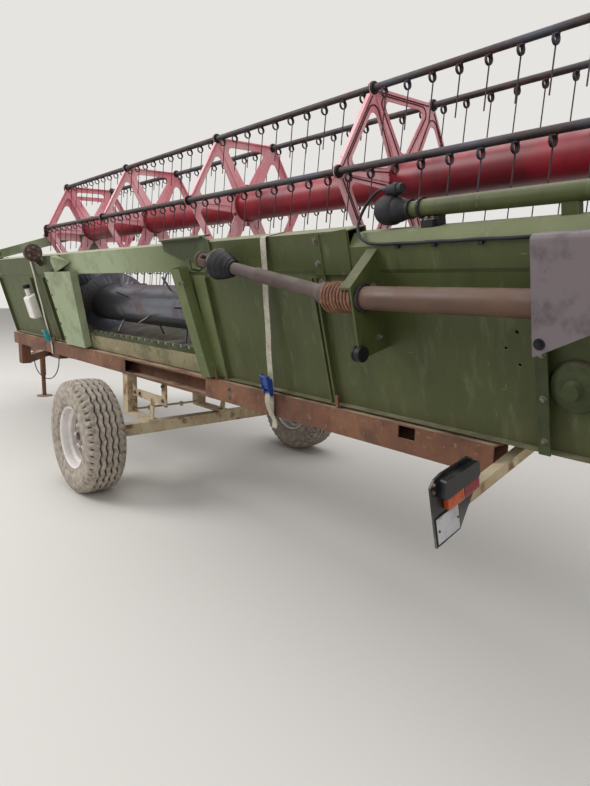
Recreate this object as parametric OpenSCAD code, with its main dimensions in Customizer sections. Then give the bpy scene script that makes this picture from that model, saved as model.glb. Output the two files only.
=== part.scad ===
// Grain header (cutting table with pick-up reel) standing on its two-wheel transport trailer.
// X runs along the header and the trailer, drawbar towards -X. Y points ahead of the knife. Z is up.
// The table lies on the trailer tipped back, so its pieces are drawn in a tilted frame:
// there Y runs along the table floor towards the knife and Z runs up the rear wall.

/* [Table] */
// Width between the end plates
table_w = 6300; // [5400:50:6600]
// Height of the rear wall
wall_h = 766; // [740:2:800]
// Table floor from the rear wall to the knife bar
floor_d = 1000; // [960:10:1060]
// Tilt of the table on the trailer, degrees
tilt = 15; // [12:0.5:18]
// Sheet thickness
sheet = 4; // [3:0.5:6]
// Depth of the box beams along the wall
beam_d = 110; // [90:5:110]
// Height of the top box beam
top_beam_h = 155; // [120:5:160]
// Height of the bottom box beam
low_beam_h = 115; // [100:5:120]
// Wall of the box beams
beam_t = 5; // [4:1:8]
// Left edge of the feeder opening from the middle of the table, at half its height
open_left = 950; // [900:10:1000]
// Right edge of the feeder opening from the middle of the table, at half its height
open_right = 760; // [650:10:780]
// Lean of the left edge of the opening, out at its foot and in at its top
flare_left = 85; // [60:5:100]
// Lean of the right edge of the opening, out at its foot and in at its top
flare_right = 30; // [10:5:50]
// Thickness of the end plates
end_t = 5; // [4:1:8]
// Outer edge of the left post beside the opening, from the middle of the table
post_out = 1460; // [1400:10:1500]
// Start of the lower, bevelled stretch of the top beam
step_x = 2090; // [2070:5:2110]

/* [Knife] */
// Distance between two knife guards
guard_pitch = 76.2; // [70:0.1:84]
// Length of a guard ahead of the knife bar
guard_len = 110; // [90:5:125]
// Width of a guard at its root
guard_w = 34; // [28:1:40]
// Thickness of the knife
knife_t = 3; // [2.5:0.5:4]

/* [Auger] */
// Radius over the auger flights
auger_r = 250; // [230:5:255]
// Radius of the auger tube
auger_tube_r = 150; // [120:5:160]
// Wall of the auger tube
auger_t = 5; // [4:1:8]
// Length of one turn of the flights
flight_pitch = 520; // [420:20:600]
// Radius of the auger shaft
auger_shaft_r = 25; // [20:1:30]
// Radius of a finger
finger_r = 8; // [6:1:10]

/* [Reel] */
// Radius of the circle of tine bars
reel_r = 510; // [480:5:515]
// Distance between two reel discs
bay = 1500; // [1300:25:1500]
// Radius of the reel tube
reel_tube_r = 110; // [90:5:120]
// Thickness of a pressed reel disc
disc_t = 4; // [3:0.5:6]
// Depth of the folded edge of a reel disc
disc_edge = 24; // [16:2:30]
// Radius of a tine bar
bar_r = 18; // [15:1:22]
// Number of tines between two discs
tines_per_bay = 10; // [8:1:12]
// Reach of a tine below its bar
tine_len = 250; // [220:5:252]
// Radius of the tine wire
tine_r = 3.5; // [3:0.5:5]
// Throw of the cranks that keep the tines upright
crank = 80; // [60:5:90]

/* [Reel lift] */
// Distance of the arm pivot ahead of the rear wall
pivot_y = 50; // [45:5:60]
// Height of the arm pivot above the wall
pivot_up = 50; // [48:1:60]
// Radius of the pivot pins
pivot_r = 20; // [16:1:24]
// Length of the arm from its pivot to the reel shaft
arm_len = 1035; // [1030:5:1060]
// Rise of the arm above the line of the floor, degrees
arm_rise = 3; // [2.5:0.1:6]
// Thickness of an arm
arm_t = 45; // [35:5:50]
// Radius of the reel shaft
reel_shaft_r = 30; // [25:1:34]
// Radius of a lift cylinder barrel
barrel_r = 28; // [24:1:30]
// Radius of a lift rod
rod_r = 14; // [12:1:18]

/* [Trailer] */
// Height of the top of the long rails
rail_top = 848; // [830:2:852]
// Height of a long rail
rail_h = 116; // [100:2:130]
// Width of a long rail
rail_w = 100; // [90:5:110]
// Wall of the rails
rail_t = 6; // [4:1:8]
// Middle of the rear rail behind the trailer's middle line
rail_rear_y = 490; // [480:5:500]
// Middle of the front rail ahead of the trailer's middle line
rail_front_y = 110; // [90:5:140]
// How far the long rails stop short of the table's right end
rail_short = 450; // [400:10:600]
// Height of the drawbar's middle
drawbar_z = 560; // [520:5:600]
// Distance of the tow eye's middle from the middle of the table
eye_x = 4660; // [4560:10:4760]
// Radius of the hole in the tow eye
eye_r = 25; // [20:1:28]
// Distance of the jack from the middle of the table
jack_x = 3700; // [3650:10:3750]

/* [Wheels] */
// Outer radius of a tyre
tyre_r = 380; // [370:2:390]
// Width of a tyre
tyre_w = 264; // [240:4:270]
// Radius of the rim's bead seat
rim_r = 195; // [185:1:205]
// Distance between the wheel middles
track = 1890; // [1850:10:1950]
// Distance of the axle from the middle of the table, towards the drawbar
axle_x = 40; // [20:5:80]
// Radius of the axle ends
spindle_r = 30; // [25:1:36]

/* [Drive line] */
// Radius of the fixed shaft guard
guard_r = 44; // [38:1:50]
// Distance of the drive line behind the wall
line_back = 127; // [115:1:140]
// Height of the drive line up the wall
line_up = 531; // [500:5:560]
// Place of the shaft bracket from the middle of the table
bracket_x = 2230; // [2200:10:2280]
// Start of the drive cover from the middle of the table
cover_x = 2930; // [2910:10:2950]
// Radius of the tube on top of the wall
top_tube_r = 30; // [24:1:32]

/* [Hidden] */

green = "#6e8a3f";
green_dark = "#4d5f33";
red = "#c8424e";
tine_brown = "#3a2626";
rust = "#8a5a42";
tyre_black = "#5a524c";
rim_white = "#e0dcdc";
steel = "#8c8680";
black = "#26262a";
cover_grey = "#a7a3a0";

// Running gap between pieces that move on each other
gap = 0.3;
// Round shapes
$fn = 48;

// Places of the whole unit: the table's middle along X, and the wall's foot on the trailer
eye_outer = 60;
cover_end = table_w / 2 + 160;
mid_x = (eye_x + eye_outer - cover_end) / 2;
foot_y = -490;
foot_z = 870;

module placed() translate([mid_x, 0, 0]) children();
module tilted() placed() translate([0, foot_y, foot_z]) rotate([tilt, 0, 0]) children();

// A side profile drawn as [Y, Z], drawn out along X from x0 to x1
module along_x(x0, x1) translate([x0, 0, 0]) rotate([90, 0, 90]) linear_extrude(x1 - x0) children();
module rod_x(r, x0, x1) translate([x0, 0, 0]) rotate([0, 90, 0]) cylinder(r = r, h = x1 - x0);
module rod_y(r, y0, y1) translate([0, y0, 0]) rotate([-90, 0, 0]) cylinder(r = r, h = y1 - y0);
module block(x0, x1, y0, y1, z0, z1) translate([x0, y0, z0]) cube([x1 - x0, y1 - y0, z1 - z0]);
module rect(y0, y1, z0, z1) translate([y0, z0]) square([y1 - y0, z1 - z0]);

// A box tube along X
module box_x(x0, x1, y0, y1, z0, z1, t) difference() {
    block(x0, x1, y0, y1, z0, z1);
    block(x0 - 1, x1 + 1, y0 + t, y1 - t, z0 + t, z1 - t);
}

function turned(r, a) = [r * cos(a), r * sin(a)];
function direction(p, q) = atan2(q[1] - p[1], q[0] - p[0]);
// An arc about c from angle a over a sweep
function arc(c, r, a, sweep, n) = [for (i = [0 : n]) c + turned(r, a + sweep * i / n)];
// A flat link with round ends
module link(p, r, q, s) {
    a = direction(p, q);
    b = acos((r - s) / norm(q - p));
    polygon(concat(arc(q, s, a - b, 2 * b, 14), arc(p, r, a + b, 360 - 2 * b, 14)));
}
// A convex polygon, listed anticlockwise, grown by r with round corners
module rounded(points, r, n = 5) {
    k = len(points);
    polygon([for (i = [0 : k - 1]) let(a = direction(points[(i + k - 1) % k], points[i]),
        b = direction(points[i], points[(i + 1) % k])) each arc(points[i], r, a - 90, (b - a + 720) % 360, n)]);
}

// Table places, tilted frame
half_w = table_w / 2;
beam_low = -15;
crease = 8;
crease_z = wall_h - top_beam_h - crease;
wall_back = -crease - sheet;
auger_y = auger_r + 40;
auger_z = auger_r + 50;
floor_z = 28;
trough_r = auger_z - floor_z - sheet;
pivot_z = wall_h + pivot_up;
reel_y = pivot_y + arm_len * cos(arm_rise);
reel_z = pivot_z + arm_len * sin(arm_rise);
knife_z = 34;

// Reel places along X
reel_half = 2 * bay;
bar_end = reel_half + 45;
disc_count = 5;
bar_count = 6;
// The top of the hexagon is level, in the world's frame
bar_phase = 2 - tilt;
arm_in = reel_half + 75;
arm_out = arm_in + arm_t;

// Where the top beam is lower its rear corner is bevelled
step_top = wall_h - 21;
bevel_low = wall_h - 66;
bevel_y = 30;

// The rear wall on one side of the feeder opening
module wall(x0, x1, top) along_x(x0, x1) polygon([[0, -sheet], [0, crease_z - crease],
    [-crease, crease_z + crease], [-crease, top], [wall_back, top],
    [wall_back, crease_z + crease], [-sheet, crease_z - crease], [-sheet, 0],
    [-30, 0], [-30, -sheet]]);
module wall_rib(x) block(x, x + 10, -30, -sheet, 0, crease_z - 20);

wall_end = 970;
wall_end_left = open_left + flare_left + 100;
seam_x = 1885;
seam_w = 50;
seam_low = 470;
// Small holes in the wall, [X, Z, radius]
wall_holes = [[2780, 400, 7], [2738, 342, 6], [2785, 288, 6]];
module wall_right() color(green) tilted() {
    difference() {
        union() {
            wall(wall_end, step_x, wall_h);
            wall(step_x, half_w, bevel_low);
        }
        for (h = wall_holes) translate([h[0], 0, h[1]]) rod_y(h[2], -sheet - 1, 1);
    }
    for (x = [wall_end + 24, seam_x - 33, seam_x - 7]) wall_rib(x);
    // Flange and doubling plate over the seam of the beam
    block(seam_x, seam_x + seam_w, wall_back - 5, -sheet, seam_low, crease_z);
    translate([0, wall_back, 0]) rotate([90, 0, 0]) linear_extrude(5)
        polygon([[seam_x, crease_z - 10], [step_x, crease_z - 10], [step_x, wall_h + 6],
            [seam_x + 20, wall_h - 8], [seam_x, wall_h - 20]]);
    translate([0, wall_back - 5, 0]) rotate([90, 0, 0]) linear_extrude(5)
        polygon([[seam_x, crease_z - 10], [seam_x + seam_w, crease_z - 10],
            [seam_x + seam_w, wall_h - 5], [seam_x + 20, wall_h - 8], [seam_x, wall_h - 20]]);
}
left_ribs = [1700, 2050];
module wall_left() color(green) tilted() {
    wall(-half_w, -wall_end_left, wall_h);
    for (x = left_ribs) wall_rib(-x);
    wall_rib(-half_w + 40);
}
// Profile of the lower stretch, drawn t inside its outer faces
module bevelled(t) {
    slope = (step_top - bevel_low) / (bevel_y + crease);
    drop = t * norm([1, slope]);
    low = wall_h - top_beam_h + t;
    polygon([[-crease + t, low], [beam_d - crease - t, low], [beam_d - crease - t, step_top - t],
        [bevel_y + (drop - t) / slope, step_top - t], [-crease + t, bevel_low + t * slope - drop]]);
}
module top_beam() color(green) tilted() {
    box_x(-half_w, step_x, -crease, beam_d - crease, wall_h - top_beam_h, wall_h, beam_t);
    along_x(step_x - 1, half_w) difference() {
        bevelled(0);
        bevelled(beam_t);
    }
}
module bottom_beam() color(green_dark) tilted()
    box_x(-half_w, half_w, 0, beam_d, beam_low, beam_low + low_beam_h, beam_t);

// Floor sheet with the round trough below the auger, and channels below it
module trough() intersection() {
    difference() {
        translate([auger_y, auger_z]) circle(trough_r + sheet);
        translate([auger_y, auger_z]) circle(trough_r);
    }
    rect(beam_d + 1, auger_y, 0, auger_z);
}
floor_rib_w = 60;
floor_rib_pitch = table_w / 7;
floor_ribs = [for (i = [-3 : 3]) i * floor_rib_pitch];
module table_floor() color(green) tilted() {
    along_x(-half_w, half_w) {
        trough();
        rect(auger_y, floor_d, floor_z, floor_z + sheet);
    }
    for (x = floor_ribs) along_x(x - floor_rib_w / 2, x + floor_rib_w / 2)
        polygon([[beam_d, beam_low], [floor_d, 8], [floor_d, floor_z + 1], [beam_d, floor_z + 1]]);
}

// Slanted posts beside the feeder opening, hollow and open towards the table
post_d = 70;
post_t = 5;
post_foot = 5;
post_top = wall_h - top_beam_h + 30;
// Rear face of a post, drawn cut inside its edges; its outer edge leans by spread more than its inner
module post_shape(x, flare, w, spread, cut) {
    lean = 2 * flare / (wall_h - top_beam_h);
    function at(v, dx) = [x + flare - lean * v + dx, v];
    polygon([at(post_foot - cut, cut), at(post_foot - cut, w - cut),
        at(post_top + cut, w + spread * (post_top + cut) / (wall_h - top_beam_h) - cut),
        at(post_top + cut, cut)]);
}
module feeder_post(x, flare, w, spread) {
    translate([0, wall_back, 0]) rotate([90, 0, 0]) linear_extrude(post_d + wall_back) difference() {
        post_shape(x, flare, w, spread, 0);
        post_shape(x, flare, w, spread, post_t);
    }
    translate([0, -post_d + post_t, 0]) rotate([90, 0, 0]) linear_extrude(post_t)
        post_shape(x, flare, w, spread, 0);
    // Foot that bolts to the bottom beam
    block(x + flare + 10, x + flare + 90, wall_back - 2, 0, post_foot, beam_low + low_beam_h);
}
post_right_w = 95;
gusset_x = 930;
module feeder_posts() color(green) tilted() {
    feeder_post(open_right, flare_right, post_right_w, 0);
    mirror([1, 0, 0]) feeder_post(open_left, flare_left, post_out - open_left - flare_left,
        2 * flare_left);
    // Recessed plate between the right post and the wall
    block(open_right + flare_right + post_right_w - 30, wall_end + 16, wall_back, -sheet, 0,
        crease_z - crease - sheet);
    // Folded gusset between the left post and the beam
    mirror([1, 0, 0]) intersection() {
        translate([0, 0, post_top - 20]) linear_extrude(wall_h - post_top + 20)
            polygon([[gusset_x, wall_back], [gusset_x + 460, wall_back], [gusset_x + 270, -62]]);
        rotate([90, 0, 0]) linear_extrude(100) polygon([[gusset_x, wall_h - 62],
            [gusset_x + 300, post_top - 12], [gusset_x + 460, wall_h - 48], [gusset_x + 276, wall_h]]);
    }
}
module stripper_bar() color(green_dark) tilted() {
    along_x(-open_left, open_right) rect(4, 12, beam_low + low_beam_h, beam_low + low_beam_h + 30);
    for (x = [-open_left + 40 : 100 : open_right - 60])
        block(x, x + 60, 4, 12, beam_low + low_beam_h + 29, beam_low + low_beam_h + 47);
}

// End plates carry the auger shaft, the arm pivots and the feet of the lift cylinders
lift_foot = [420, 150];
lift_eye_y = 470;
lift_eye = [pivot_y + lift_eye_y * cos(arm_rise), pivot_z + lift_eye_y * sin(arm_rise)];
lift_x = half_w + end_t + barrel_r + 8;
lift_pin_r = 14;
module end_plate() {
    along_x(half_w, half_w + end_t) difference() {
        union() {
            polygon([[wall_back, -20], [wall_back, wall_h], [140, wall_h],
                [720, 520], [1060, 190], [1110, 60], [1060, -20]]);
            link([pivot_y, wall_h - 40], 50, [pivot_y, pivot_z], 38);
        }
        translate([auger_y, auger_z]) circle(auger_shaft_r + gap);
    }
    // Pivot pin, cylinder pin and the auger's bearing housing
    translate([0, pivot_y, pivot_z]) rod_x(pivot_r, arm_in - 6, half_w + 1);
    translate([0, lift_foot[0], lift_foot[1]]) rod_x(lift_pin_r, half_w, lift_x + 18);
    translate([0, auger_y, auger_z]) difference() {
        rod_x(60, half_w + end_t - 1, half_w + end_t + 20);
        rod_x(auger_shaft_r + gap, half_w, half_w + end_t + 30);
    }
}
module end_plate_right() color(green) tilted() end_plate();
module end_plate_left() color(green) tilted() mirror([1, 0, 0]) end_plate();

divider_tip = floor_d + 648;
divider_h = 300;
divider_nose_z = 100;
module divider() hull() {
    along_x(half_w + end_t, half_w + end_t + 70) rounded([[floor_d - 120, 0], [floor_d + 100, 0],
        [floor_d + 80, divider_nose_z + 30], [floor_d - 100, divider_h]], 20);
    translate([half_w + end_t + 20, divider_tip - 16, divider_nose_z]) sphere(16, $fn = 16);
}
module divider_right() color(green) tilted() divider();
module divider_left() color(green) tilted() mirror([1, 0, 0]) divider();

// Knife bar with its guards, and the knife that slides in them
guards = floor((table_w - 100) / guard_pitch);
guard_x0 = -(guards - 1) * guard_pitch / 2;
guard_root = floor_d + 48;
guard_tip = guard_root + guard_len;
comb = concat([[half_w, floor_d], [half_w, guard_root]],
    [for (i = [guards - 1 : -1 : 0]) let(x = guard_x0 + i * guard_pitch)
        each [[x + guard_w / 2, guard_root], [x + 3, guard_tip], [x - 3, guard_tip],
            [x - guard_w / 2, guard_root]]],
    [[-half_w, guard_root], [-half_w, floor_d]]);
slot_z = knife_z - gap;
slot_h = knife_t + 3;
module cutter_bar() color(green_dark) tilted() intersection() {
    linear_extrude(80) polygon(comb);
    along_x(-half_w, half_w) polygon([[floor_d, 8], [guard_root + 20, 16],
        [guard_tip, knife_z - 4], [guard_tip, knife_z + 6], [guard_root + 60, 56],
        [guard_root + 16, 54], [guard_root + 16, slot_z + slot_h],
        [guard_tip - 22, slot_z + slot_h], [guard_tip - 22, slot_z], [floor_d, slot_z]]);
}
section_w = guard_pitch - 3;
blade_root = guard_root + 2;
blades = concat([[guard_x0 - 40, guard_root - 20], [guard_x0 - 40, blade_root]],
    [for (i = [0 : guards - 2]) let(x = guard_x0 + (i + 0.5) * guard_pitch)
        each [[x - section_w / 2, blade_root], [x - 8, guard_tip - 26], [x + 8, guard_tip - 26],
            [x + section_w / 2, blade_root]]],
    [[-guard_x0 + 40, blade_root], [-guard_x0 + 40, guard_root - 20]]);
module knife() color(steel) tilted() translate([0, 0, knife_z]) linear_extrude(knife_t) polygon(blades);

// Auger: two flights that carry towards a middle part with fingers
auger_half = half_w - 45;
finger_left = open_left - 60;
finger_right = open_right - 60;
fingers = [for (i = [0 : 13]) [-finger_left + (i + 0.5) * (finger_left + finger_right) / 14,
    i * 137.5]];
module auger_tube() color(steel) tilted() translate([0, auger_y, auger_z]) {
    difference() {
        rod_x(auger_tube_r, -auger_half, auger_half);
        rod_x(auger_tube_r - auger_t, -auger_half + auger_t, auger_half - auger_t);
    }
    rod_x(auger_shaft_r, auger_half - 1, half_w + end_t + 18);
    rod_x(auger_shaft_r, -half_w - end_t - 18, -auger_half + 1);
    for (f = fingers) translate([f[0], 0, 0]) rotate([f[1], 0, 0])
        translate([0, 0, auger_tube_r - auger_t / 2]) cylinder(r = finger_r, h = auger_r - auger_tube_r);
}
// One helical flight from x0 over a length, hand 1 or -1
flight_t = 4;
steps = 36;
flight_root = auger_tube_r / cos(180 / steps) + 0.05;
function flight_ring(x, a) = [[x, flight_root, a], [x, auger_r, a],
    [x + flight_t, auger_r, a], [x + flight_t, flight_root, a]];
module flight(x0, length, hand, start) {
    n = round(length / flight_pitch * steps);
    rings = [for (i = [0 : n]) each flight_ring(x0 + i * length / n,
        start + hand * i * length / n / flight_pitch * 360)];
    polyhedron([for (p = rings) [p[0], p[1] * cos(p[2]), p[1] * sin(p[2])]],
        concat([[3, 2, 1, 0]],
            [for (i = [0 : n - 1], k = [0 : 3]) let(a = 4 * i + k, b = 4 * i + (k + 1) % 4)
                each [[a, b, b + 4], [a, b + 4, a + 4]]],
            [[4 * n, 4 * n + 1, 4 * n + 2, 4 * n + 3]]));
}
module auger_flights() color(steel) tilted() translate([0, auger_y, auger_z]) {
    flight(finger_right + 20, auger_half - finger_right - 40, 1, 0);
    mirror([1, 0, 0]) flight(finger_left + 20, auger_half - finger_left - 40, 1, 0);
}

// Reel: five pressed discs on a tube, six tine bars that the control disc keeps upright
function bar_at(i) = turned(reel_r, bar_phase + 60 * i);
lobe_r = bar_r + 16;
window_r = 34;
side_d = reel_r * cos(30);
function window_at(i, d, a) = turned(d, bar_phase + 60 * i + 30 + a);
module windows() for (i = [0 : bar_count - 1])
    rounded([window_at(i, 175, 0), window_at(i, side_d - 55, -19), window_at(i, side_d - 55, 19)],
        window_r);
module hexagon(grow) polygon([for (i = [0 : bar_count - 1])
    turned(reel_r + grow, bar_phase + 60 * i)]);
module disc_shape() difference() {
    union() {
        hexagon(8);
        for (i = [0 : bar_count - 1]) translate(bar_at(i)) circle(lobe_r);
    }
    windows();
    for (i = [0 : bar_count - 1]) translate(bar_at(i)) circle(bar_r + 2 * gap);
}
module disc_fold() difference() {
    hexagon(8);
    hexagon(0);
    for (i = [0 : bar_count - 1]) translate(bar_at(i)) circle(lobe_r + 4);
}
module reel_disc() {
    along_x(0, disc_t) disc_shape();
    along_x(disc_t / 2, disc_edge) disc_fold();
    // Bearing rings of the bars, and the ridge pressed into each spoke
    along_x(-8, disc_t / 2) for (i = [0 : bar_count - 1]) translate(bar_at(i)) difference() {
        circle(bar_r + 8);
        circle(bar_r + 2 * gap);
    }
    along_x(-6, disc_t + 6) for (i = [0 : bar_count - 1]) rotate(bar_phase + 60 * i)
        polygon([[reel_tube_r - 2, -16], [reel_r - 52, -8], [reel_r - 46, 0], [reel_r - 52, 8],
            [reel_tube_r - 2, 16]]);
}
module reel_frame() color(red) tilted() translate([0, reel_y, reel_z]) {
    difference() {
        rod_x(reel_tube_r, -reel_half, reel_half);
        rod_x(reel_tube_r - 4, -reel_half + 6, reel_half - 6);
    }
    rod_x(reel_shaft_r, reel_half - 1, arm_out + 8);
    rod_x(reel_shaft_r, -arm_out - 8, -reel_half + 1);
    for (i = [0 : disc_count - 1]) {
        x = -reel_half + i * bay;
        if (x > 0) translate([x, 0, 0]) mirror([1, 0, 0]) reel_disc();
        else translate([x, 0, 0]) reel_disc();
    }
}
down = -90 - tilt;
tine_pitch = bay / tines_per_bay;
ring_r = 27;
ring_in = 15;
ring_t = 12;
module tine() {
    drop = bar_r + ring_r - 8;
    along_x(-ring_t / 2, ring_t / 2) translate([0, -drop]) difference() {
        circle(ring_r, $fn = 24);
        circle(ring_in, $fn = 24);
    }
    translate([0, 0, -tine_len]) cylinder(r = tine_r, h = tine_len - drop - ring_in - 4, $fn = 16);
}
module tine_bar(i) color(tine_brown) tilted()
    translate([0, reel_y + bar_at(i)[0], reel_z + bar_at(i)[1]]) rotate([-tilt, 0, 0]) {
        rod_x(bar_r, -bar_end, reel_half + 14);
        for (k = [0 : 4 * tines_per_bay - 1])
            translate([-reel_half + (k + 0.5) * tine_pitch, 0, 0]) tine();
        // Crank and its pin at the left end
        along_x(-bar_end, -bar_end + 12) link([0, 0], bar_r + 6, [0, -crank], 16);
        translate([0, 0, -crank]) rod_x(9, -reel_half - 62, -bar_end + 6);
    }
module tine_bar_1() tine_bar(0);
module tine_bar_2() tine_bar(1);
module tine_bar_3() tine_bar(2);
module tine_bar_4() tine_bar(3);
module tine_bar_5() tine_bar(4);
module tine_bar_6() tine_bar(5);
// The control disc turns on a drum that stands off the reel's shaft by the crank's throw
control_at = [reel_y, reel_z] + turned(crank, down);
drum_r = reel_shaft_r + crank + 30;
control_x = -reel_half - 56;
module control_disc() color(red) tilted() translate([0, control_at[0], control_at[1]])
    along_x(control_x, control_x + 6) difference() {
        union() {
            hexagon(0);
            for (i = [0 : bar_count - 1]) translate(bar_at(i)) circle(26);
        }
        windows();
        circle(drum_r + gap);
        for (i = [0 : bar_count - 1]) translate(bar_at(i)) circle(9 + 2 * gap);
    }

// Reel arms, and the cylinders that lift them
module reel_arm() difference() {
    union() {
        along_x(arm_in, arm_out) {
            link([pivot_y, pivot_z], 42, [reel_y, reel_z], 56);
            link([reel_y, reel_z], 50, [reel_y, reel_z] + turned(170, arm_rise), 26);
        }
        // Boss for the cylinder's rod
        translate([0, lift_eye[0], lift_eye[1]]) rod_x(lift_pin_r + 4, arm_in + 2, lift_x - rod_r - gap);
    }
    translate([0, pivot_y, pivot_z]) rod_x(pivot_r + gap, arm_in - 1, arm_out + 1);
    translate([0, reel_y, reel_z]) rod_x(reel_shaft_r + gap, arm_in - 1, arm_out + 1);
}
module reel_arm_right() color(green) tilted() reel_arm();
module reel_arm_left() color(green) tilted() {
    mirror([1, 0, 0]) reel_arm();
    difference() {
        translate([0, control_at[0], control_at[1]]) rod_x(drum_r, -arm_in - 2, control_x - 2);
        translate([0, reel_y, reel_z]) rod_x(reel_shaft_r + gap, -arm_in - 3, control_x + 3);
    }
}
lift_len = norm(lift_eye - lift_foot);
lift_angle = atan2(lift_eye[1] - lift_foot[1], lift_eye[0] - lift_foot[0]);
barrel_len = 470;
module at_lift() translate([lift_x, lift_foot[0], lift_foot[1]]) rotate([lift_angle - 90, 0, 0])
    children();
module lift_barrel() at_lift() difference() {
    union() {
        translate([0, 0, 30]) cylinder(r = barrel_r, h = barrel_len - 30);
        rod_x(24, -12, 12);
        translate([0, 0, 5]) cylinder(r = 16, h = 40);
    }
    rod_x(lift_pin_r + gap, -20, 20);
    translate([0, 0, 60]) cylinder(r = rod_r + gap, h = barrel_len);
}
module lift_rod() at_lift() {
    translate([0, 0, 70]) cylinder(r = rod_r, h = lift_len - 70);
    translate([0, 0, lift_len]) rod_x(26, -rod_r, rod_r);
    translate([0, 0, lift_len]) rod_x(16, rod_r - 1, rod_r + 10);
}
module lift_barrel_right() color(steel) tilted() lift_barrel();
module lift_barrel_left() color(steel) tilted() mirror([1, 0, 0]) lift_barrel();
module lift_rod_right() color("silver") tilted() lift_rod();
module lift_rod_left() color("silver") tilted() mirror([1, 0, 0]) lift_rod();

// Drive line behind the wall
module line_at() translate([0, -line_back, line_up]) children();
module shaft_guard() color("#6b5142") tilted() line_at() rod_x(guard_r, bracket_x + 8, cover_x);
bracket_top = wall_h - 76;
bracket_rear = line_back + 56;
module shaft_bracket() color(green) tilted() {
    along_x(bracket_x, bracket_x + 8) difference() {
        polygon([[-sheet, line_up - 228], [-sheet, crease_z - crease - 4], [wall_back, crease_z],
            [wall_back, bracket_top], [-bracket_rear, line_up + 53],
            [-bracket_rear, line_up - 200], [-bracket_rear + 20, line_up - 228]]);
        translate([-line_back, line_up]) circle(24);
    }
    along_x(bracket_x - 44, bracket_x + 4)
        polygon([[wall_back, bracket_top - 8], [wall_back, bracket_top],
            [-bracket_rear, line_up + 53], [-bracket_rear, line_up + 45]]);
    translate([0, -bracket_rear + 4, line_up - 204]) rod_x(26, bracket_x - 14, bracket_x + 22);
}
bellows_len = 170;
bellows_end = bracket_x - gap - bellows_len;
module bellows() color("#8a5a3a") tilted() line_at() translate([bellows_end, 0, 0]) rotate([0, 90, 0])
    rotate_extrude() polygon(concat([[0, 0]], [for (i = [0 : 6]) each
        [[52, i * 25], [62, i * 25 + 8], [62, i * 25 + 14], [52, i * 25 + 20]]], [[0, bellows_len]]));
shaft_start = [bellows_end - 7.5, -line_back, line_up + 10];
shaft_end = [1130, -104, 696];
cone_at = 150;
module drive_shaft() color(black) tilted() {
    d = shaft_end - shaft_start;
    len = norm(d);
    translate(shaft_start) rotate([0, -90, atan2(d[1], d[0]) - 180]) rotate([0, atan2(d[2], -d[0]), 0])
        rotate_extrude() polygon([[0, 0], [44, 0], [44, 30], [30, 60], [30, len - cone_at - 150],
            [38, len - cone_at - 140], [75, len - cone_at - 20], [75, len - cone_at], [34, len - cone_at],
            [34, len - 24], [42, len - 20], [42, len], [0, len]]);
}
// Bracket on the beam with a cradle that carries the end of the shaft
hook_in = 1105;
module shaft_hook() color(green_dark) tilted() {
    translate([0, wall_back, 0]) rotate([90, 0, 0]) linear_extrude(10) polygon([[615, wall_h - 30],
        [650, wall_h - 42], [840, wall_h - 92], [hook_in, wall_h - 92], [hook_in, wall_h + 10], [1056, wall_h + 34],
        [615, wall_h + 34]]);
    block(615, 1056, -40, 30, wall_h + 26, wall_h + 34);
    along_x(hook_in - 30, hook_in) polygon([[wall_back - 9, wall_h - 92], [wall_back - 9, wall_h - 70],
        [-52, wall_h - 100], [-110, wall_h - 122], [-148, wall_h - 106], [-148, wall_h - 60],
        [-156, wall_h - 60], [-156, wall_h - 112], [-110, wall_h - 132], [-48, wall_h - 110]]);
}
cover_low = 400;
cover_rise = 26;
module drive_cover() color(cover_grey) tilted() difference() {
    along_x(cover_x, cover_end) rounded([[-172, cover_low], [-30, cover_low], [-30, 700], [-160, 716]], 18);
    along_x(cover_x + 4, cover_end - 4)
        rounded([[-170, cover_low - 60], [20, cover_low - 60], [20, 698], [-158, 712]], 16);
    // Lower edge that rises towards the end
    translate([cover_x + 20, 0, cover_low]) rotate([0, -cover_rise, 0])
        block(-200, 500, -300, 100, -200, 0);
}
// Strip and bearing dish at the end of the wall
strip_x = 2862;
dish_at = [2975, 0, 240];
module end_dish() color(green_dark) tilted() {
    along_x(strip_x, strip_x + 6) rect(-44, -sheet, 0, crease_z - 20);
    along_x(strip_x, strip_x + 40) rect(-50, -44, 0, cover_low);
    translate(dish_at) rotate([90, 0, 0]) rotate_extrude()
        polygon([[0, sheet], [85, sheet], [85, 18], [77, 30], [50, 40], [32, 40], [26, 64], [0, 64]]);
}
tube_y = 80;
tube_z = step_top + 64;
tube_end = 2335;
tube_feet = [2402, 2900];
module top_tube() color(green) tilted() {
    translate([0, tube_y, tube_z]) {
        rod_x(top_tube_r - 3, tube_end, tube_feet[0]);
        rod_x(top_tube_r, tube_feet[0] - 4, arm_in - 20);
    }
    block(tube_feet[1], tube_feet[1] + 50, tube_y - 16, tube_y + 16, step_top, tube_z - top_tube_r + 4);
}
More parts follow.
